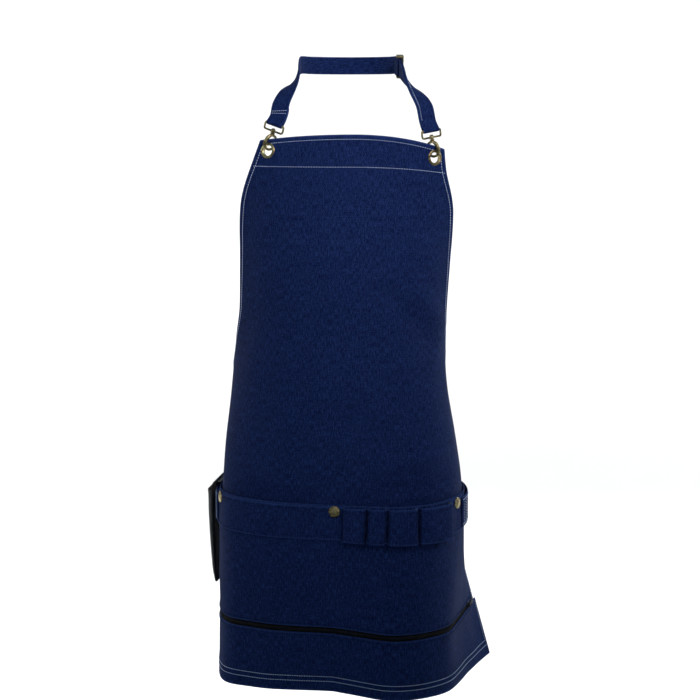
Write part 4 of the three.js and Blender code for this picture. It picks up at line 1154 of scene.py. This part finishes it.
class APRON_OT_apron_cloth(bpy.types.Operator):
    """Make the apron's main cloth with its hems, the bib facing and their stitching"""

    bl_idname = "apron.apron_cloth"
    bl_label = "Apron Cloth"

    ZONE = 10 * MM

    def panel(self):
        near = HEM_STEPS * self.ZONE
        high = BIB_TOP - HEM
        downs = np.concatenate([near, np.linspace(0.015, high - 0.03, 176),
                                high - np.array([26, 23.5, 22, 20.5, 16, 10, 4, 1, 0]) * MM])
        share = downs / high
        rough = BIB_TOP + (HEM - BIB_TOP) * share
        halves = half_width(rough)
        us = np.array([hem_columns(half, 130, self.ZONE) for half in halves])
        zs = bib_edge(us) * (1 - share[:, None]) + HEM * share[:, None]
        side = halves[:, None] - np.abs(us)
        top = (bib_edge(us) - zs)
        foot = np.maximum(0, zs - HEM)
        puff = np.maximum(hem_puff(side, self.ZONE, 0.45 * MM), hem_puff(foot, 22 * MM, 0.45 * MM))
        puff = np.maximum(puff, hem_puff(top, 9 * MM, 0.4 * MM))
        outer = FORM.place(us, zs, CLOTH + puff)
        inner = FORM.place(us, zs, -puff * 1.6)
        # Paler within 2.5 mm of the cut edges: rubbed wear plus a painted rim highlight.
        edge = np.clip(1 - np.minimum(np.minimum(side, top), foot) / (2.5 * MM), 0, 1)
        area = float(np.trapz(2 * halves, -rough))
        piece = cloth_piece("apron_cloth", outer, inner, np.stack([us, zs], axis=-1), denim(), edge,
                            denim_inside())
        return piece, area

    def cut_eyelets(self, piece):
        for side, deep in zip(EYELET_SIDE, EYELET_DEEP):
            z = bib_edge(np.array(side)) - deep
            here, above = FORM.place([side, side], [z, z + 0.004], 0)
            across = FORM.place(side + 0.004, z, 0) - FORM.place(side - 0.004, z, 0)
            normal = Vector(np.cross(above - here, across))
            clear_selection()
            bpy.ops.mesh.primitive_cylinder_add(vertices=40, radius=8.0 * MM, depth=0.03, location=here,
                                                rotation=normal.to_track_quat("Z", "Y").to_euler())
            punch = bpy.context.object
            choose(piece)
            cut = piece.modifiers.new("Eyelet hole", "BOOLEAN")
            cut.operation = "DIFFERENCE"
            cut.object = punch
            bpy.ops.object.modifier_apply(modifier=cut.name)
            bpy.data.objects.remove(punch)

    def facing(self):
        inset = 2.5 * MM
        downs = np.concatenate([[0, 0.0004, 0.0015], np.linspace(0.003, FACING - 0.003, 20),
                                FACING - np.array([0.0015, 0.0004, 0])])
        rough = BIB_TOP - inset - downs
        us = np.array([hem_columns(half - inset, 60, 4 * MM) for half in half_width(rough)])
        zs = bib_edge(us) - inset - downs[:, None]
        outer = FORM.place(us, zs, -1.0 * MM)
        inner = FORM.place(us, zs, -2.1 * MM)
        return cloth_piece("bib_facing_cloth", outer, inner, np.stack([us, zs], axis=-1), denim())

    def seams(self):
        lift = CLOTH + 0.4 * MM
        rows = np.linspace(BIB_TOP - 0.012, HEM + 0.024, 260)
        runs = []
        for side in (-1, 1):
            halves = half_width(rows) - 7.5 * MM
            us = side * halves
            zs = bib_edge(us) + (rows - BIB_TOP) * (HEM - bib_edge(us)) / (HEM - BIB_TOP)
            runs.append(surface_line(us, zs, lift))
        us = np.linspace(-0.125, 0.125, 120)
        runs.append(surface_line(us, bib_edge(us) - 5.5 * MM, lift))
        us = np.linspace(-0.139, 0.139, 120)
        level = BIB_TOP - FACING - 2.4 * MM - 9.7 * MM * (np.maximum(us, 0) / 0.14) ** 2
        runs.append(surface_line(us, level, CLOTH + 0.05 * MM))
        return runs

    def execute(self, context):
        piece, area = self.panel()
        self.cut_eyelets(piece)
        rides(piece, "root", ("apron_panel",))
        facing = self.facing()
        self.cut_eyelets(facing)
        rides(facing, "root", ("bib_facing",))
        seams = stitched("apron_stitching", self.seams())
        return {"FINISHED"}


class APRON_OT_skirt_front(bpy.types.Operator):
    """Make the pocket and the strip of denim below the zip"""

    bl_idname = "apron.skirt_front"
    bl_label = "Pocket and Hem Panel"

    def pocket(self):
        zone = 9 * MM
        top, foot = POCKET_TOP, ZIP + ZIP_SHOWS / 2
        near = HEM_STEPS * zone
        zs = np.concatenate([top - near, np.linspace(top - 1.4 * zone, foot + 0.006, 46),
                             foot + np.array([0.004, 0.002, 0.0008, 0.0002, 0])])
        us = hem_columns(POCKET_HALF, 150, zone)
        u, z = np.meshgrid(us, zs)
        lies = pocket_stand_off(u, z)
        puff = np.maximum(hem_puff(top - z, zone, 0.5 * MM), hem_puff(z - foot, 4 * MM, 0.5 * MM))
        side = POCKET_HALF - np.abs(u)
        # Paler within 2 mm of the pocket's edges: rubbed wear plus a painted rim highlight.
        edge = np.clip(1 - np.minimum(np.minimum(side, top - z), z - foot) / (2 * MM), 0, 1)
        piece = cloth_piece("pocket_cloth", FORM.place(u, z, lies + CLOTH + puff), FORM.place(u, z, lies),
                            np.stack([u + 0.013, z], axis=-1), denim(), edge, denim_inside())
        rides(piece, "root", ("pocket_panel",))

    def hem_strip(self):
        top, foot = ZIP - ZIP_SHOWS / 2, HEM + 0.001
        high = top - foot
        downs = np.concatenate([[0, 0.0002, 0.0008, 0.002, 0.004], np.linspace(0.006, high - 0.024, 18),
                                high - np.array([21.5, 20.5, 19.5, 16, 13.5, 8, 3, 0.8, 0]) * MM])
        us = hem_columns(EDGE - 0.001, 150, 10 * MM)
        u, down = np.meshgrid(us, downs)
        z = top - down
        side = EDGE - np.abs(u)
        puff = np.maximum(hem_puff(down, 4 * MM, 0.5 * MM), hem_puff(high - down, 20 * MM, 0.5 * MM))
        puff = np.maximum(puff, hem_puff(side, 10 * MM, 0.5 * MM))
        # Paler within 2 mm of the strip's edges: rubbed wear plus a painted rim highlight.
        edge = np.clip(1 - np.minimum(np.minimum(side, down), high - down) / (2 * MM), 0, 1)
        piece = cloth_piece("hem_cloth", FORM.place(u, z, FRONT_LIES + CLOTH + puff),
                            FORM.place(u, z, FRONT_LIES), np.stack([u - 0.021, z], axis=-1), denim(), edge,
                            denim_inside())
        rides(piece, "root", ("hem_panel",))

    def execute(self, context):
        self.pocket()
        self.hem_strip()
        us = np.linspace(-EDGE + 0.004, EDGE - 0.004, 500)
        lift = FRONT_LIES + CLOTH + 0.45 * MM
        runs = [surface_line(us, np.full_like(us, HEM + up), lift) for up in (14 * MM, 20.5 * MM)]
        rows = np.linspace(ZIP - 0.007, HEM + 0.022, 40)
        for side in (-1, 1):
            runs.append(surface_line(np.full_like(rows, side * (EDGE - 7.5 * MM)), rows, lift))
        stitched("hem_stitching", runs)
        dark = []
        us = np.linspace(-POCKET_HALF + 0.003, POCKET_HALF - 0.003, 460)
        dark.append(surface_line(us, np.full_like(us, ZIP + ZIP_SHOWS / 2 + 3 * MM),
                                 pocket_stand_off(us, np.full_like(us, ZIP + 0.008)) + CLOTH + 0.45 * MM))
        dark.append(surface_line(us, np.full_like(us, ZIP - ZIP_SHOWS / 2 - 3 * MM), lift))
        dark.append(surface_line(us, np.full_like(us, POCKET_TOP - 7.5 * MM),
                                 pocket_stand_off(us, np.full_like(us, POCKET_TOP)) + CLOTH + 0.45 * MM))
        stitched("pocket_stitching", dark, material=navy_thread())
        return {"FINISHED"}


TOOL_LOOPS = ((12, 42, 11), (44, 68, 11), (70, 106, 13), (108, 160, 13))


class APRON_OT_tool_band(bpy.types.Operator):
    """Make the band across the front with its four tool loops"""

    bl_idname = "apron.tool_band"
    bl_label = "Tool Band"

    def profile(self):
        """Places along the band and how far each loop stands out, from 0 to its height."""
        us, lifts = [], []
        flat = np.concatenate([-BAND_END + np.array([0, 0.0004, 0.0015, 0.004]),
                               np.linspace(-BAND_END + 0.008, 0.011, 90)])
        us.extend(flat)
        lifts.extend([0] * len(flat))
        for start, end, high in TOOL_LOOPS:
            turn = np.linspace(0, np.pi, 34)
            square = 0.42
            across = np.sign(np.cos(turn)) * np.abs(np.cos(turn)) ** square
            lift = np.abs(np.sin(turn)) ** square
            us.extend(((start + end) / 2 - across * ((end - start) / 2 - 1.6)) * MM)
            lifts.extend(lift * high * MM)
        rest = np.concatenate([np.linspace(0.162, BAND_END - 0.006, 20),
                               BAND_END - np.array([0.004, 0.0015, 0.0004, 0])])
        us.extend(rest)
        lifts.extend([0] * len(rest))
        return np.array(us), np.array(lifts)

    def curves(self, u, lift, z, share):
        """One level of the band: its inner line and its outward directions in plan."""
        gather = 1 - 0.22 * (1 - share) ** 2
        lies = pocket_stand_off(u, np.full_like(u, BAND_TOP)) + CLOTH + 0.9 * MM
        line = FORM.place(u, np.full_like(u, z), lies + lift * gather)
        ahead = np.gradient(line[:, :2], axis=0)
        ahead /= np.maximum(np.linalg.norm(ahead, axis=1), 1e-9)[:, None]
        outs = np.stack([ahead[:, 1], -ahead[:, 0], np.zeros(len(u))], axis=1)
        return line, outs

    def execute(self, context):
        u, lift = self.profile()
        share = np.concatenate([[0, 0.006, 0.02, 0.05, 0.1, 0.14, 0.18], np.linspace(0.22, 0.8, 10),
                                [0.84, 0.88, 0.92, 0.96, 0.985, 0.995, 1]])
        outer, inner = [], []
        for part in share:
            z = BAND_TOP - part * BAND_HIGH
            line, outs = self.curves(u, lift, z, part)
            near = min(part, 1 - part) * BAND_HIGH
            puff = float(hem_puff(np.array(near), 6.5 * MM, 0.45 * MM))
            crease = 0.35 * MM * float(soft_bump(part, 0.52, 0.02))
            inner.append(line)
            outer.append(line + outs * (CLOTH + puff - crease))
        outer, inner = np.array(outer), np.array(inner)
        length = np.concatenate([[0], np.cumsum(np.linalg.norm(np.diff(outer[0], axis=0), axis=1))])
        uv = np.stack(np.meshgrid(length, -share * BAND_HIGH), axis=-1)
        ends = np.minimum(length, length[-1] - length)[None, :]
        rows = (np.minimum(share, 1 - share) * BAND_HIGH)[:, None]
        # Paler near the band's edges and ends: rubbed wear plus a painted rim highlight.
        edge = np.clip(1 - np.minimum(ends, rows) / (2 * MM), 0, 1)
        # The loops' top and bottom rows go paler where they stand out most: rubbed wear plus a painted
        # highlight.
        corner = np.clip(lift / (13 * MM), 0, 1) ** 8
        edge = np.maximum(edge, 0.25 * corner[None, :] * (rows < 0.004))
        piece = cloth_piece("tool_band_cloth", outer, inner, uv, denim(), edge, denim_inside())
        rides(piece, "root", ("tool_band",))
        self.seams(u, lift)
        return {"FINISHED"}

    def seams(self, u, lift):
        """Fine navy seams along the band's edges and down between its loops."""
        runs = []
        for part in (0.07, 0.93):
            z = BAND_TOP - part * BAND_HIGH
            line, outs = self.curves(u, lift, z, part)
            runs.append((line + outs * (CLOTH + 0.45 * MM), outs))
        stops = [TOOL_LOOPS[0][0] - 2] + [(a[1] + b[0]) / 2 for a, b in zip(TOOL_LOOPS, TOOL_LOOPS[1:])]
        stops.append(TOOL_LOOPS[-1][1] + 2)
        zs = np.linspace(BAND_TOP - 0.002, BAND_TOP - BAND_HIGH + 0.002, 24)
        for stop in stops:
            lies = pocket_stand_off(np.array(stop * MM), np.array(BAND_TOP)) + 2 * CLOTH + 0.9 * MM
            runs.append(surface_line(np.full_like(zs, stop * MM), zs, lies))
        stitched("band_stitching", runs, material=navy_thread())


class APRON_OT_waist_straps(bpy.types.Operator):
    """Make both waist straps and their seams"""

    bl_idname = "apron.waist_straps"
    bl_label = "Waist Straps"

    def execute(self, context):
        seams = []
        for side, name in ((-1, "right"), (1, "left")):
            run, wides, outs = waist_run(side)
            piece = strap_piece(f"waist_strap_{name}_cloth", run, wides, outs, BAND_HIGH - 2 * MM, BELT_THICK,
                                denim())
            rides(piece, "root", (f"waist_strap_{name}",))
            face = 1 if side < 0 else -1
            seams.extend(strap_seams(run, wides, outs, BAND_HIGH - 2 * MM, BELT_THICK, 4 * MM, face))
            for back in (4, 9):
                start = run[back]
                line = np.array([start + wides[back] * reach for reach in np.linspace(-0.019, 0.019, 12)])
                lifted = line + face * outs[back] * BELT_THICK * 0.5
                seams.append((lifted, np.tile(face * outs[back], (12, 1))))
        stitched("waist_strap_stitching", seams)
        return {"FINISHED"}


class APRON_OT_neck_strap(bpy.types.Operator):
    """Make the neck strap, folded round both rings and its slider, with its seams"""

    bl_idname = "apron.neck_strap"
    bl_label = "Neck Strap"

    def execute(self, context):
        path, marks = neck_path()
        run, wides, outs = (np.array([tuple(frame[k]) for frame in path]) for k in range(3))
        piece = strap_piece("neck_strap_cloth", run, wides, outs, STRAP_WIDE, STRAP_THICK, denim())
        rides(piece, "root", ("neck_strap",))
        first, last = marks["run"]
        main = slice(first, last)
        seams = strap_seams(run[main], wides[main], outs[main], STRAP_WIDE, STRAP_THICK, 2.6 * MM)
        stitched("neck_strap_seams", seams, material=navy_thread(), pitch=2.8 * MM)
        pale = []
        for up in (12, 16.5):
            k = first + round(up * MM / marks["pitch"])
            line = np.array([run[k] + wides[k] * reach for reach in np.linspace(-0.0105, 0.0105, 9)])
            pale.append((line + outs[k] * STRAP_THICK * 0.5, np.tile(outs[k], (9, 1))))
        reach = round(0.15 / marks["pitch"])
        tail = slice(last - reach, last - 4)
        pale.append((run[tail] + wides[tail] * (STRAP_WIDE / 2 - 2.6 * MM) + outs[tail] * STRAP_THICK * 0.46,
                     outs[tail]))
        stitched("neck_strap_stitching", pale, pitch=3 * MM)
        return {"FINISHED"}


class APRON_OT_zip(bpy.types.Operator):
    """Make the zip: two woven tapes, its closed coils, slider and puller"""

    bl_idname = "apron.zip"
    bl_label = "Zip"

    def execute(self, context):
        us = np.linspace(-POCKET_HALF + 1 * MM, POCKET_HALF - 1 * MM, 260)
        for name, near, far in (("upper", 1.5 * MM, ZIP_TAPE), ("lower", -1.5 * MM, -ZIP_TAPE)):
            rows = np.linspace(max(near, far), min(near, far), 14)
            u, down = np.meshgrid(us, rows)
            rib = 0.25 * MM * soft_bump(np.abs(down), 2.6 * MM, 0.7 * MM)
            face = FORM.place(u, ZIP + down, ZIP_LIES + 0.5 * MM + rib)
            back = FORM.place(u, ZIP + down, ZIP_LIES)
            piece = cloth_piece(f"zip_tape_{name}_cloth", face, back, np.stack([u, down], axis=-1),
                                zip_cloth())
            rides(piece, "root", (f"zip_tape_{name}",))
        tooth = bead((0.52 * MM, 1.15 * MM, 0.75 * MM), 7, 5)
        line = np.linspace(-COIL_HALF, COIL_HALF, 500)
        runs = [surface_line(line, np.full_like(line, ZIP + side * 0.85 * MM), ZIP_LIES + 1.3 * MM)
                for side in (-1, 1)]
        rows = [repeated(f"zip_teeth_{k}", tooth, [run], zip_nylon(), 1.25 * MM, tilt=(-0.32, 0.32)[k])
                for k, run in enumerate(runs)]
        coil = joined(rows)
        coil.name = "zip_coil_teeth"
        rides(coil, "root", ("zip_coil",))
        polished("zip_slider", zip_nylon(), 0.7 * MM, "zip_slider")
        polished("zip_puller", zip_nylon(), 0.45 * MM, "zip_puller")
        return {"FINISHED"}


class APRON_OT_pouch(bpy.types.Operator):
    """Make the sewn black pouch that rides on the right waist strap"""

    bl_idname = "apron.pouch"
    bl_label = "Hip Pouch"

    def half_at(self, down):
        return (POUCH_WIDE / 2) * (1 - 0.42 * down**2) * np.sqrt(1 - 12 * np.maximum(0, down - 0.8) ** 2)

    def local(self, x, out, z):
        """World points from places on the pouch: across it, out from the apron, and height."""
        x, out, z = np.broadcast_arrays(x, out, z)
        spot = FORM.place(POUCH_AT, BELT_Z, 0)
        turn = FORM.heading(POUCH_AT, BELT_Z)
        return np.stack([spot[0] + x * math.cos(turn) + out * math.sin(turn),
                         spot[1] + x * math.sin(turn) - out * math.cos(turn), z], axis=-1)

    def shell(self):
        foot = POUCH_TOP - POUCH_HIGH
        share = np.linspace(0, 1, 60)
        a, b = np.meshgrid(np.linspace(-1, 1, 48), share)
        half = self.half_at(b) - 0.6 * MM
        z = POUCH_TOP - b * POUCH_HIGH
        back = POUCH_BACK + 0.1 * MM
        piece = cloth_piece("pouch_back_cloth", self.local(a * half, back + 1.3 * MM, z),
                            self.local(a * half, back, z), np.stack([a * half, z], axis=-1), pouch_cloth())
        rides(piece, "pouch", ("pouch_back",))
        seat_out = POUCH_BACK + POUCH_WALL + 0.4 * MM
        z = (POUCH_TOP - 12 * MM) * (1 - b) + foot * b
        half = self.half_at(b) - 0.4 * MM
        depth = POUCH_DEEP * (1 - 0.85 * b**1.6) * (1 - np.abs(a) ** 5) * np.clip((1 - b) / 0.08, 0, 1) ** 0.5
        sag = 0.5 * MM * np.sin(3.1 * a + 1.0) * np.sin(7 * b) * (1 - a**2)
        lies = seat_out + 0.7 * MM + depth + sag
        roll = 0.5 * MM * np.exp(-((b * POUCH_HIGH / (4 * MM)) ** 4))
        piece = cloth_piece("pouch_front_cloth", self.local(a * half, lies + 1.3 * MM + roll, z),
                            self.local(a * half, lies, z), np.stack([a * half, z], axis=-1), pouch_cloth())
        rides(piece, "pouch", ("pouch_front",))
        return share

    def execute(self, context):
        share = self.shell()
        foot = POUCH_TOP - POUCH_HIGH
        half = self.half_at(share) - 0.5 * MM
        z = POUCH_TOP - share * POUCH_HIGH
        x = np.concatenate([-half, np.linspace(-half[-1], half[-1], 14)[1:-1], half[::-1]])
        z = np.concatenate([z, np.full(12, foot), z[::-1]])
        out = POUCH_BACK + 1.6 * MM
        rim = self.local(x, out, z)
        binding = rod("pouch_binding", rim[2:-2], 1.9 * MM, pouch_cloth(), Matrix.Identity(4))
        rides(binding, "pouch")
        runs = []
        for inset in (5 * MM, 8 * MM):
            part = share[9:-4]
            wide = self.half_at(part) - inset
            a = wide / self.half_at(part)
            depth = POUCH_DEEP * (1 - 0.85 * part**1.6) * (1 - a**5)
            lift = POUCH_BACK + POUCH_WALL + 0.4 * MM + 2.0 * MM + depth
            z = (POUCH_TOP - 12 * MM) * (1 - part) + foot * part
            for side in (-1, 1):
                line = self.local(side * wide, lift, z)
                runs.append((line, self.local(side * wide, lift + 1 * MM, z) - line))
        stitched("pouch_stitching", runs, pouch_thread(), "pouch")
        self.hanger()
        self.rivets()
        return {"FINISHED"}

    def hanger(self):
        """A webbing loop round the waist strap, its corners rounded."""
        middle = BELT_LIES[-1][1]
        half = BELT_THICK / 2 + HANGER_SLACK + HANGER_WALL / 2
        low = BELT_Z - BAND_HIGH / 2 - 2 * HANGER_WALL + 0.3 * MM
        high = BELT_Z + BAND_HIGH / 2 + HANGER_WALL - 0.1 * MM
        corner = 1.2 * MM
        outline = []
        corners = ((half, high, 0), (-half, high, 90), (-half, low, 180), (half, low, 270))
        for out, z, start in corners:
            for degrees in range(0, 91, 15):
                angle = math.radians(start + degrees)
                outline.append((middle + math.copysign(half - corner, out) + corner * math.cos(angle),
                                z - math.copysign(corner, z - BELT_Z) + corner * math.sin(angle)))
        outline.append(outline[0])
        outs, zs = np.array(outline).T
        run = self.local(0.0, outs, zs)
        across = self.local(1.0, 0.0, 0.0) - self.local(0.0, 0.0, 0.0)
        ahead = np.gradient(run, axis=0)
        away = np.cross(ahead, across)
        away /= np.linalg.norm(away, axis=1)[:, None]
        wides = np.tile(across, (len(run), 1))
        piece = strap_piece("pouch_hanger", run, wides, away, HANGER_WIDE, HANGER_WALL, pouch_cloth())
        rides(piece, "pouch", ("pouch_belt_loop",))

    def rivets(self):
        """Two small rivets that hold the loop to the pouch's back."""
        for name, x in (("1", -14 * MM), ("2", 14 * MM)):
            spot = self.local(x, POUCH_BACK + 1.3 * MM, POUCH_TOP - 6 * MM)
            away = Vector(self.local(x, 1.0, 0.0) - self.local(x, 0.0, 0.0))
            matrix = Matrix.Translation(Vector(spot)) @ away.to_track_quat("Z", "Y").to_matrix().to_4x4()
            head = ((3.2 * MM, 0.0), (3.1 * MM, 0.5 * MM), (2.2 * MM, 1.0 * MM), (0.9 * MM, 1.25 * MM))
            rides(turned(f"pouch_rivet_{name}", head + ((0.1 * MM, 1.3 * MM),), brass(), matrix, 24), "pouch")


class APRON_OT_fittings(bpy.types.Operator):
    """Finish the brass studs, eyelets, snap hooks, rings, slider and press studs"""

    bl_idname = "apron.fittings"
    bl_label = "Brass Fittings"

    def stud(self, name, u):
        """A domed band stud with a rolled rim, and its washer behind the apron."""
        place = seat(u, BAND_TOP - STUD_DOWN)
        front = float(pocket_stand_off(np.array(u), np.array(BAND_TOP))) + 2 * CLOTH + 1.2 * MM
        shape = ((1.8, -2.8), (1.8, front / MM), (7.6, front / MM), (8.0, front / MM + 0.3),
                 (7.9, front / MM + 1.1), (7.3, front / MM + 1.7), (6.6, front / MM + 1.8),
                 (6.1, front / MM + 1.5), (5.6, front / MM + 1.6), (4.4, front / MM + 2.2),
                 (2.4, front / MM + 2.6), (0.8, front / MM + 2.7), (0.1, front / MM + 2.7))
        cap = turned(f"stud_cap_{name}_dome", in_mm(shape), brass(), place, 48)
        rides(cap, "root", (f"stud_cap_{name}",))
        washer = ((2.2, -1.3), (6.4, -1.3), (6.4, -2.0), (5.6, -2.4), (2.4, -2.4), (2.2, -2.1), (2.2, -1.3))
        back = turned(f"stud_washer_{name}_turned", in_mm(washer), brass(), place, 36, closed=True)
        rides(back, "root", (f"stud_washer_{name}",))

    def eyelet(self, name, i):
        """A rolled eyelet through the bib and facing, and its washer."""
        u = EYELET_SIDE[i]
        place = seat(u, float(bib_edge(np.array(u))) - EYELET_DEEP[i])
        front = CLOTH / MM + 0.45
        ring = ((7.2, front), (7.25, front + 0.5), (7.6, front + 0.9), (8.3, front + 1.1),
                (9.3, front + 0.95), (10.3, front + 0.55), (10.8, front + 0.15), (10.8, front - 0.1),
                (7.9, front - 0.1),
                (7.9, -3.1), (7.2, -3.1), (7.2, front))
        piece = turned(f"eyelet_{name}_rolled", in_mm(ring), brass(), place, 56, closed=True, bevel=0.08 * MM)
        rides(piece, "root", (f"eyelet_{name}",))
        washer = ((8.2, -2.6), (10.8, -2.6), (10.8, -3.0), (10.2, -3.3), (8.7, -3.3), (8.2, -3.0),
                  (8.2, -2.6))
        piece = turned(f"eyelet_washer_{name}_turned", in_mm(washer), brass(), place, 48, closed=True)
        rides(piece, "root", (f"eyelet_washer_{name}",))

    def snap_hook(self, name, i):
        """A swivel snap hook: its bow, collar, post, gate and pin."""
        place = hook_place(i) @ Matrix.Rotation(math.radians(HOOK_TWIST[i]), 4, "Z")
        bend = [(0, -BOW_HALF * math.cos(angle), BOW_HALF + BOW_HALF * math.sin(angle))
                for angle in np.linspace(0, -math.pi, 32)]
        leg, _ = centripetal([(0, -1.2 * MM, BOW_UP + 1 * MM), (0, -5.2 * MM, BOW_UP - 2.4 * MM),
                              (0, -7.6 * MM, BOW_UP - 7.5 * MM), bend[0]], 22)
        run = [*leg[:-1], *bend, (0, BOW_HALF, BOW_HALF + 0.6 * MM)]
        sizes = np.interp(np.arange(len(run)), (0, 8, 20, 30, len(run)), (1.2, 1.5, 1.3, 1, 1))
        bow = rod(f"hook_{name}_bow", run, WIRE, brass(), place, tips=(False, True), sizes=sizes)
        arm, _ = centripetal([(0, 1.0 * MM, BOW_UP + 1 * MM), (0, 3.6 * MM, BOW_UP + 0.2 * MM),
                              (0, 6.0 * MM, BOW_UP - 1.2 * MM)], 10)
        neck = rod(f"hook_{name}_neck", arm, WIRE, brass(), place)
        up = BOW_UP / MM
        top = COLLAR / MM
        shape = ((2.2, up - 0.4), (3.4, up - 0.1), (3.7, up + 0.7), (3.5, up + 1.3), (3.0, up + 1.7),
                 (3.0, up + top - 1.2), (3.4, up + top - 0.8), (3.4, up + top - 0.2), (1.8, up + top))
        collar = turned(f"hook_{name}_collar", in_mm(shape), brass(), place, 36)
        rides(joined([bow, neck, collar]), f"hook_{name}", (f"hook_body_{name}",))
        boss = BOSS_TOP / MM
        shape = ((1.4, up + top - 1.2), (1.4, boss + 0.25), (2.7, boss + 0.25), (2.6, boss + 1.0),
                 (1.8, boss + 1.6), (0.6, boss + 1.8), (0.1, boss + 1.8))
        rides(turned(f"hook_{name}_post", in_mm(shape), brass(), place, 28), f"hook_{name}",
              (f"hook_post_{name}",))
        tip = BOW_HALF + 0.6 * MM + WIRE + 0.9 * MM
        gate = rod(f"hook_{name}_gate", [(0, BOW_HALF, z) for z in np.linspace(PIN_UP, tip, 8)], 1.3 * MM,
                   brass(), place)
        side_on = place @ Matrix.Translation((0, BOW_HALF, PIN_UP)) @ Matrix.Rotation(math.pi / 2, 4, "Y")
        eye = turned(f"hook_{name}_eye", in_mm(((1.2, -1.2), (1.7, -1.1), (1.7, 1.1), (1.2, 1.2))), brass(),
                     side_on, 24)
        rides(joined([gate, eye]), f"gate_{name}", (f"hook_gate_{name}",))
        shape = ((0.3, -2.6), (0.8, -2.5), (0.9, -2.1), (0.9, -1.6), (0.6, -1.5), (0.6, 1.5), (0.9, 1.6),
                 (0.9, 2.1), (0.8, 2.5), (0.3, 2.6))
        pin = turned(f"hook_{name}_pin", in_mm(shape), brass(), side_on, 18, bevel=0)
        rides(pin, f"hook_{name}", (f"gate_pin_{name}",))

    def strap_ring(self, name, i):
        """A wire ring with round corners, on the boss that the swivel post passes through."""
        place = hook_place(i)
        wide, high = RING_HALF[0] - RING_CORNER, RING_HALF[1] - RING_CORNER
        spots = []
        for x, z, start in ((wide, high, 0), (-wide, high, 90), (-wide, -high, 180), (wide, -high, 270)):
            for degrees in range(0, 91, 10):
                angle = math.radians(start + degrees)
                spots.append((x + RING_CORNER * math.cos(angle), 0,
                              RING_MIDDLE + z + RING_CORNER * math.sin(angle)))
        ring = rod(f"strap_ring_{name}_wire", spots, RING_WIRE, brass(), place, closed=True)
        foot = BOSS_FOOT / MM
        shape = ((1.8, foot + 0.1), (2.9, foot + 0.1), (3.2, foot + 0.5), (3.2, foot + 3.4),
                 (2.9, foot + 3.9), (1.8, foot + 3.9), (1.8, foot + 0.1))
        boss = turned(f"strap_ring_{name}_boss", in_mm(shape), brass(), place, 32, closed=True)
        rides(joined([ring, boss]), "root", (f"strap_ring_{name}",))

    def press_stud(self, number, x):
        """A press stud that closes the waist straps at the back."""
        inner = BELT_BACK_Y / MM - BELT_THICK / MM / 2 - 0.4
        between = BELT_BACK_Y / MM + BELT_THICK / MM / 2 + 0.2
        outer = BELT_BACK_Y / MM + BELT_THICK / MM * 1.5 + 1.2
        place = Matrix.Translation((x, 0, BELT_Z)) @ Matrix.Rotation(-math.pi / 2, 4, "X")
        base = ((0.2, inner - 1.6), (5.0, inner - 1.4), (6.3, inner - 0.7), (6.5, inner), (1.9, inner),
                (1.9, between))
        rides(turned(f"closure_stud_{number}_turned", in_mm(base), brass(), place, 36), "root",
              (f"closure_stud_{number}",))
        cap = ((1.9, between + 0.3), (1.9, outer), (7.2, outer), (7.5, outer + 0.4), (7.1, outer + 1.2),
               (6.4, outer + 1.4), (5.8, outer + 1.2), (4.2, outer + 1.9), (2.0, outer + 2.3),
               (0.1, outer + 2.4))
        rides(turned(f"closure_cap_{number}_dome", in_mm(cap), brass(), place, 48), "root",
              (f"closure_cap_{number}",))

    def execute(self, context):
        for i, name in enumerate(("right", "left")):
            self.eyelet(name, i)
            self.snap_hook(name, i)
            self.strap_ring(name, i)
            polished(f"zip_stop_{name}", brass(), 0.3 * MM)
        for name, u in zip(("right", "centre", "left"), STUD_SIDE):
            self.stud(name, u)
        for number, x in ((1, -20 * MM), (2, 20 * MM)):
            self.press_stud(number, x)
        polished("neck_slider", brass(), 0.5 * MM)
        return {"FINISHED"}


OPERATORS = (APRON_OT_stage, APRON_OT_apron_cloth, APRON_OT_skirt_front, APRON_OT_tool_band,
             APRON_OT_waist_straps, APRON_OT_neck_strap, APRON_OT_zip, APRON_OT_pouch, APRON_OT_fittings)


class APRON_PT_panel(bpy.types.Panel):
    """Lists the apron's settings and the steps that build it"""

    bl_label = "Denim Bib Apron"
    bl_idname = "APRON_PT_panel"
    bl_space_type = "VIEW_3D"
    bl_region_type = "UI"
    bl_category = "Apron"

    def draw(self, context):
        for group in (context.scene.apron_looks, context.scene.apron_studio):
            for name in group.__annotations__:
                self.layout.prop(group, name)
        for operator in OPERATORS:
            self.layout.operator(operator.bl_idname)


CLASSES = (ApronLooks, ApronStudio, *OPERATORS, APRON_PT_panel)


def register():
    for cls in CLASSES:
        bpy.utils.register_class(cls)
    bpy.types.Scene.apron_looks = bpy.props.PointerProperty(type=ApronLooks)
    bpy.types.Scene.apron_studio = bpy.props.PointerProperty(type=ApronStudio)


def unregister():
    del bpy.types.Scene.apron_studio
    del bpy.types.Scene.apron_looks
    for cls in reversed(CLASSES):
        bpy.utils.unregister_class(cls)


def main():
    register()
    for operator in OPERATORS:
        family, name = operator.bl_idname.split(".")
        getattr(getattr(bpy.ops, family), name)()
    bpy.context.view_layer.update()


if __name__ == "__main__":
    main()
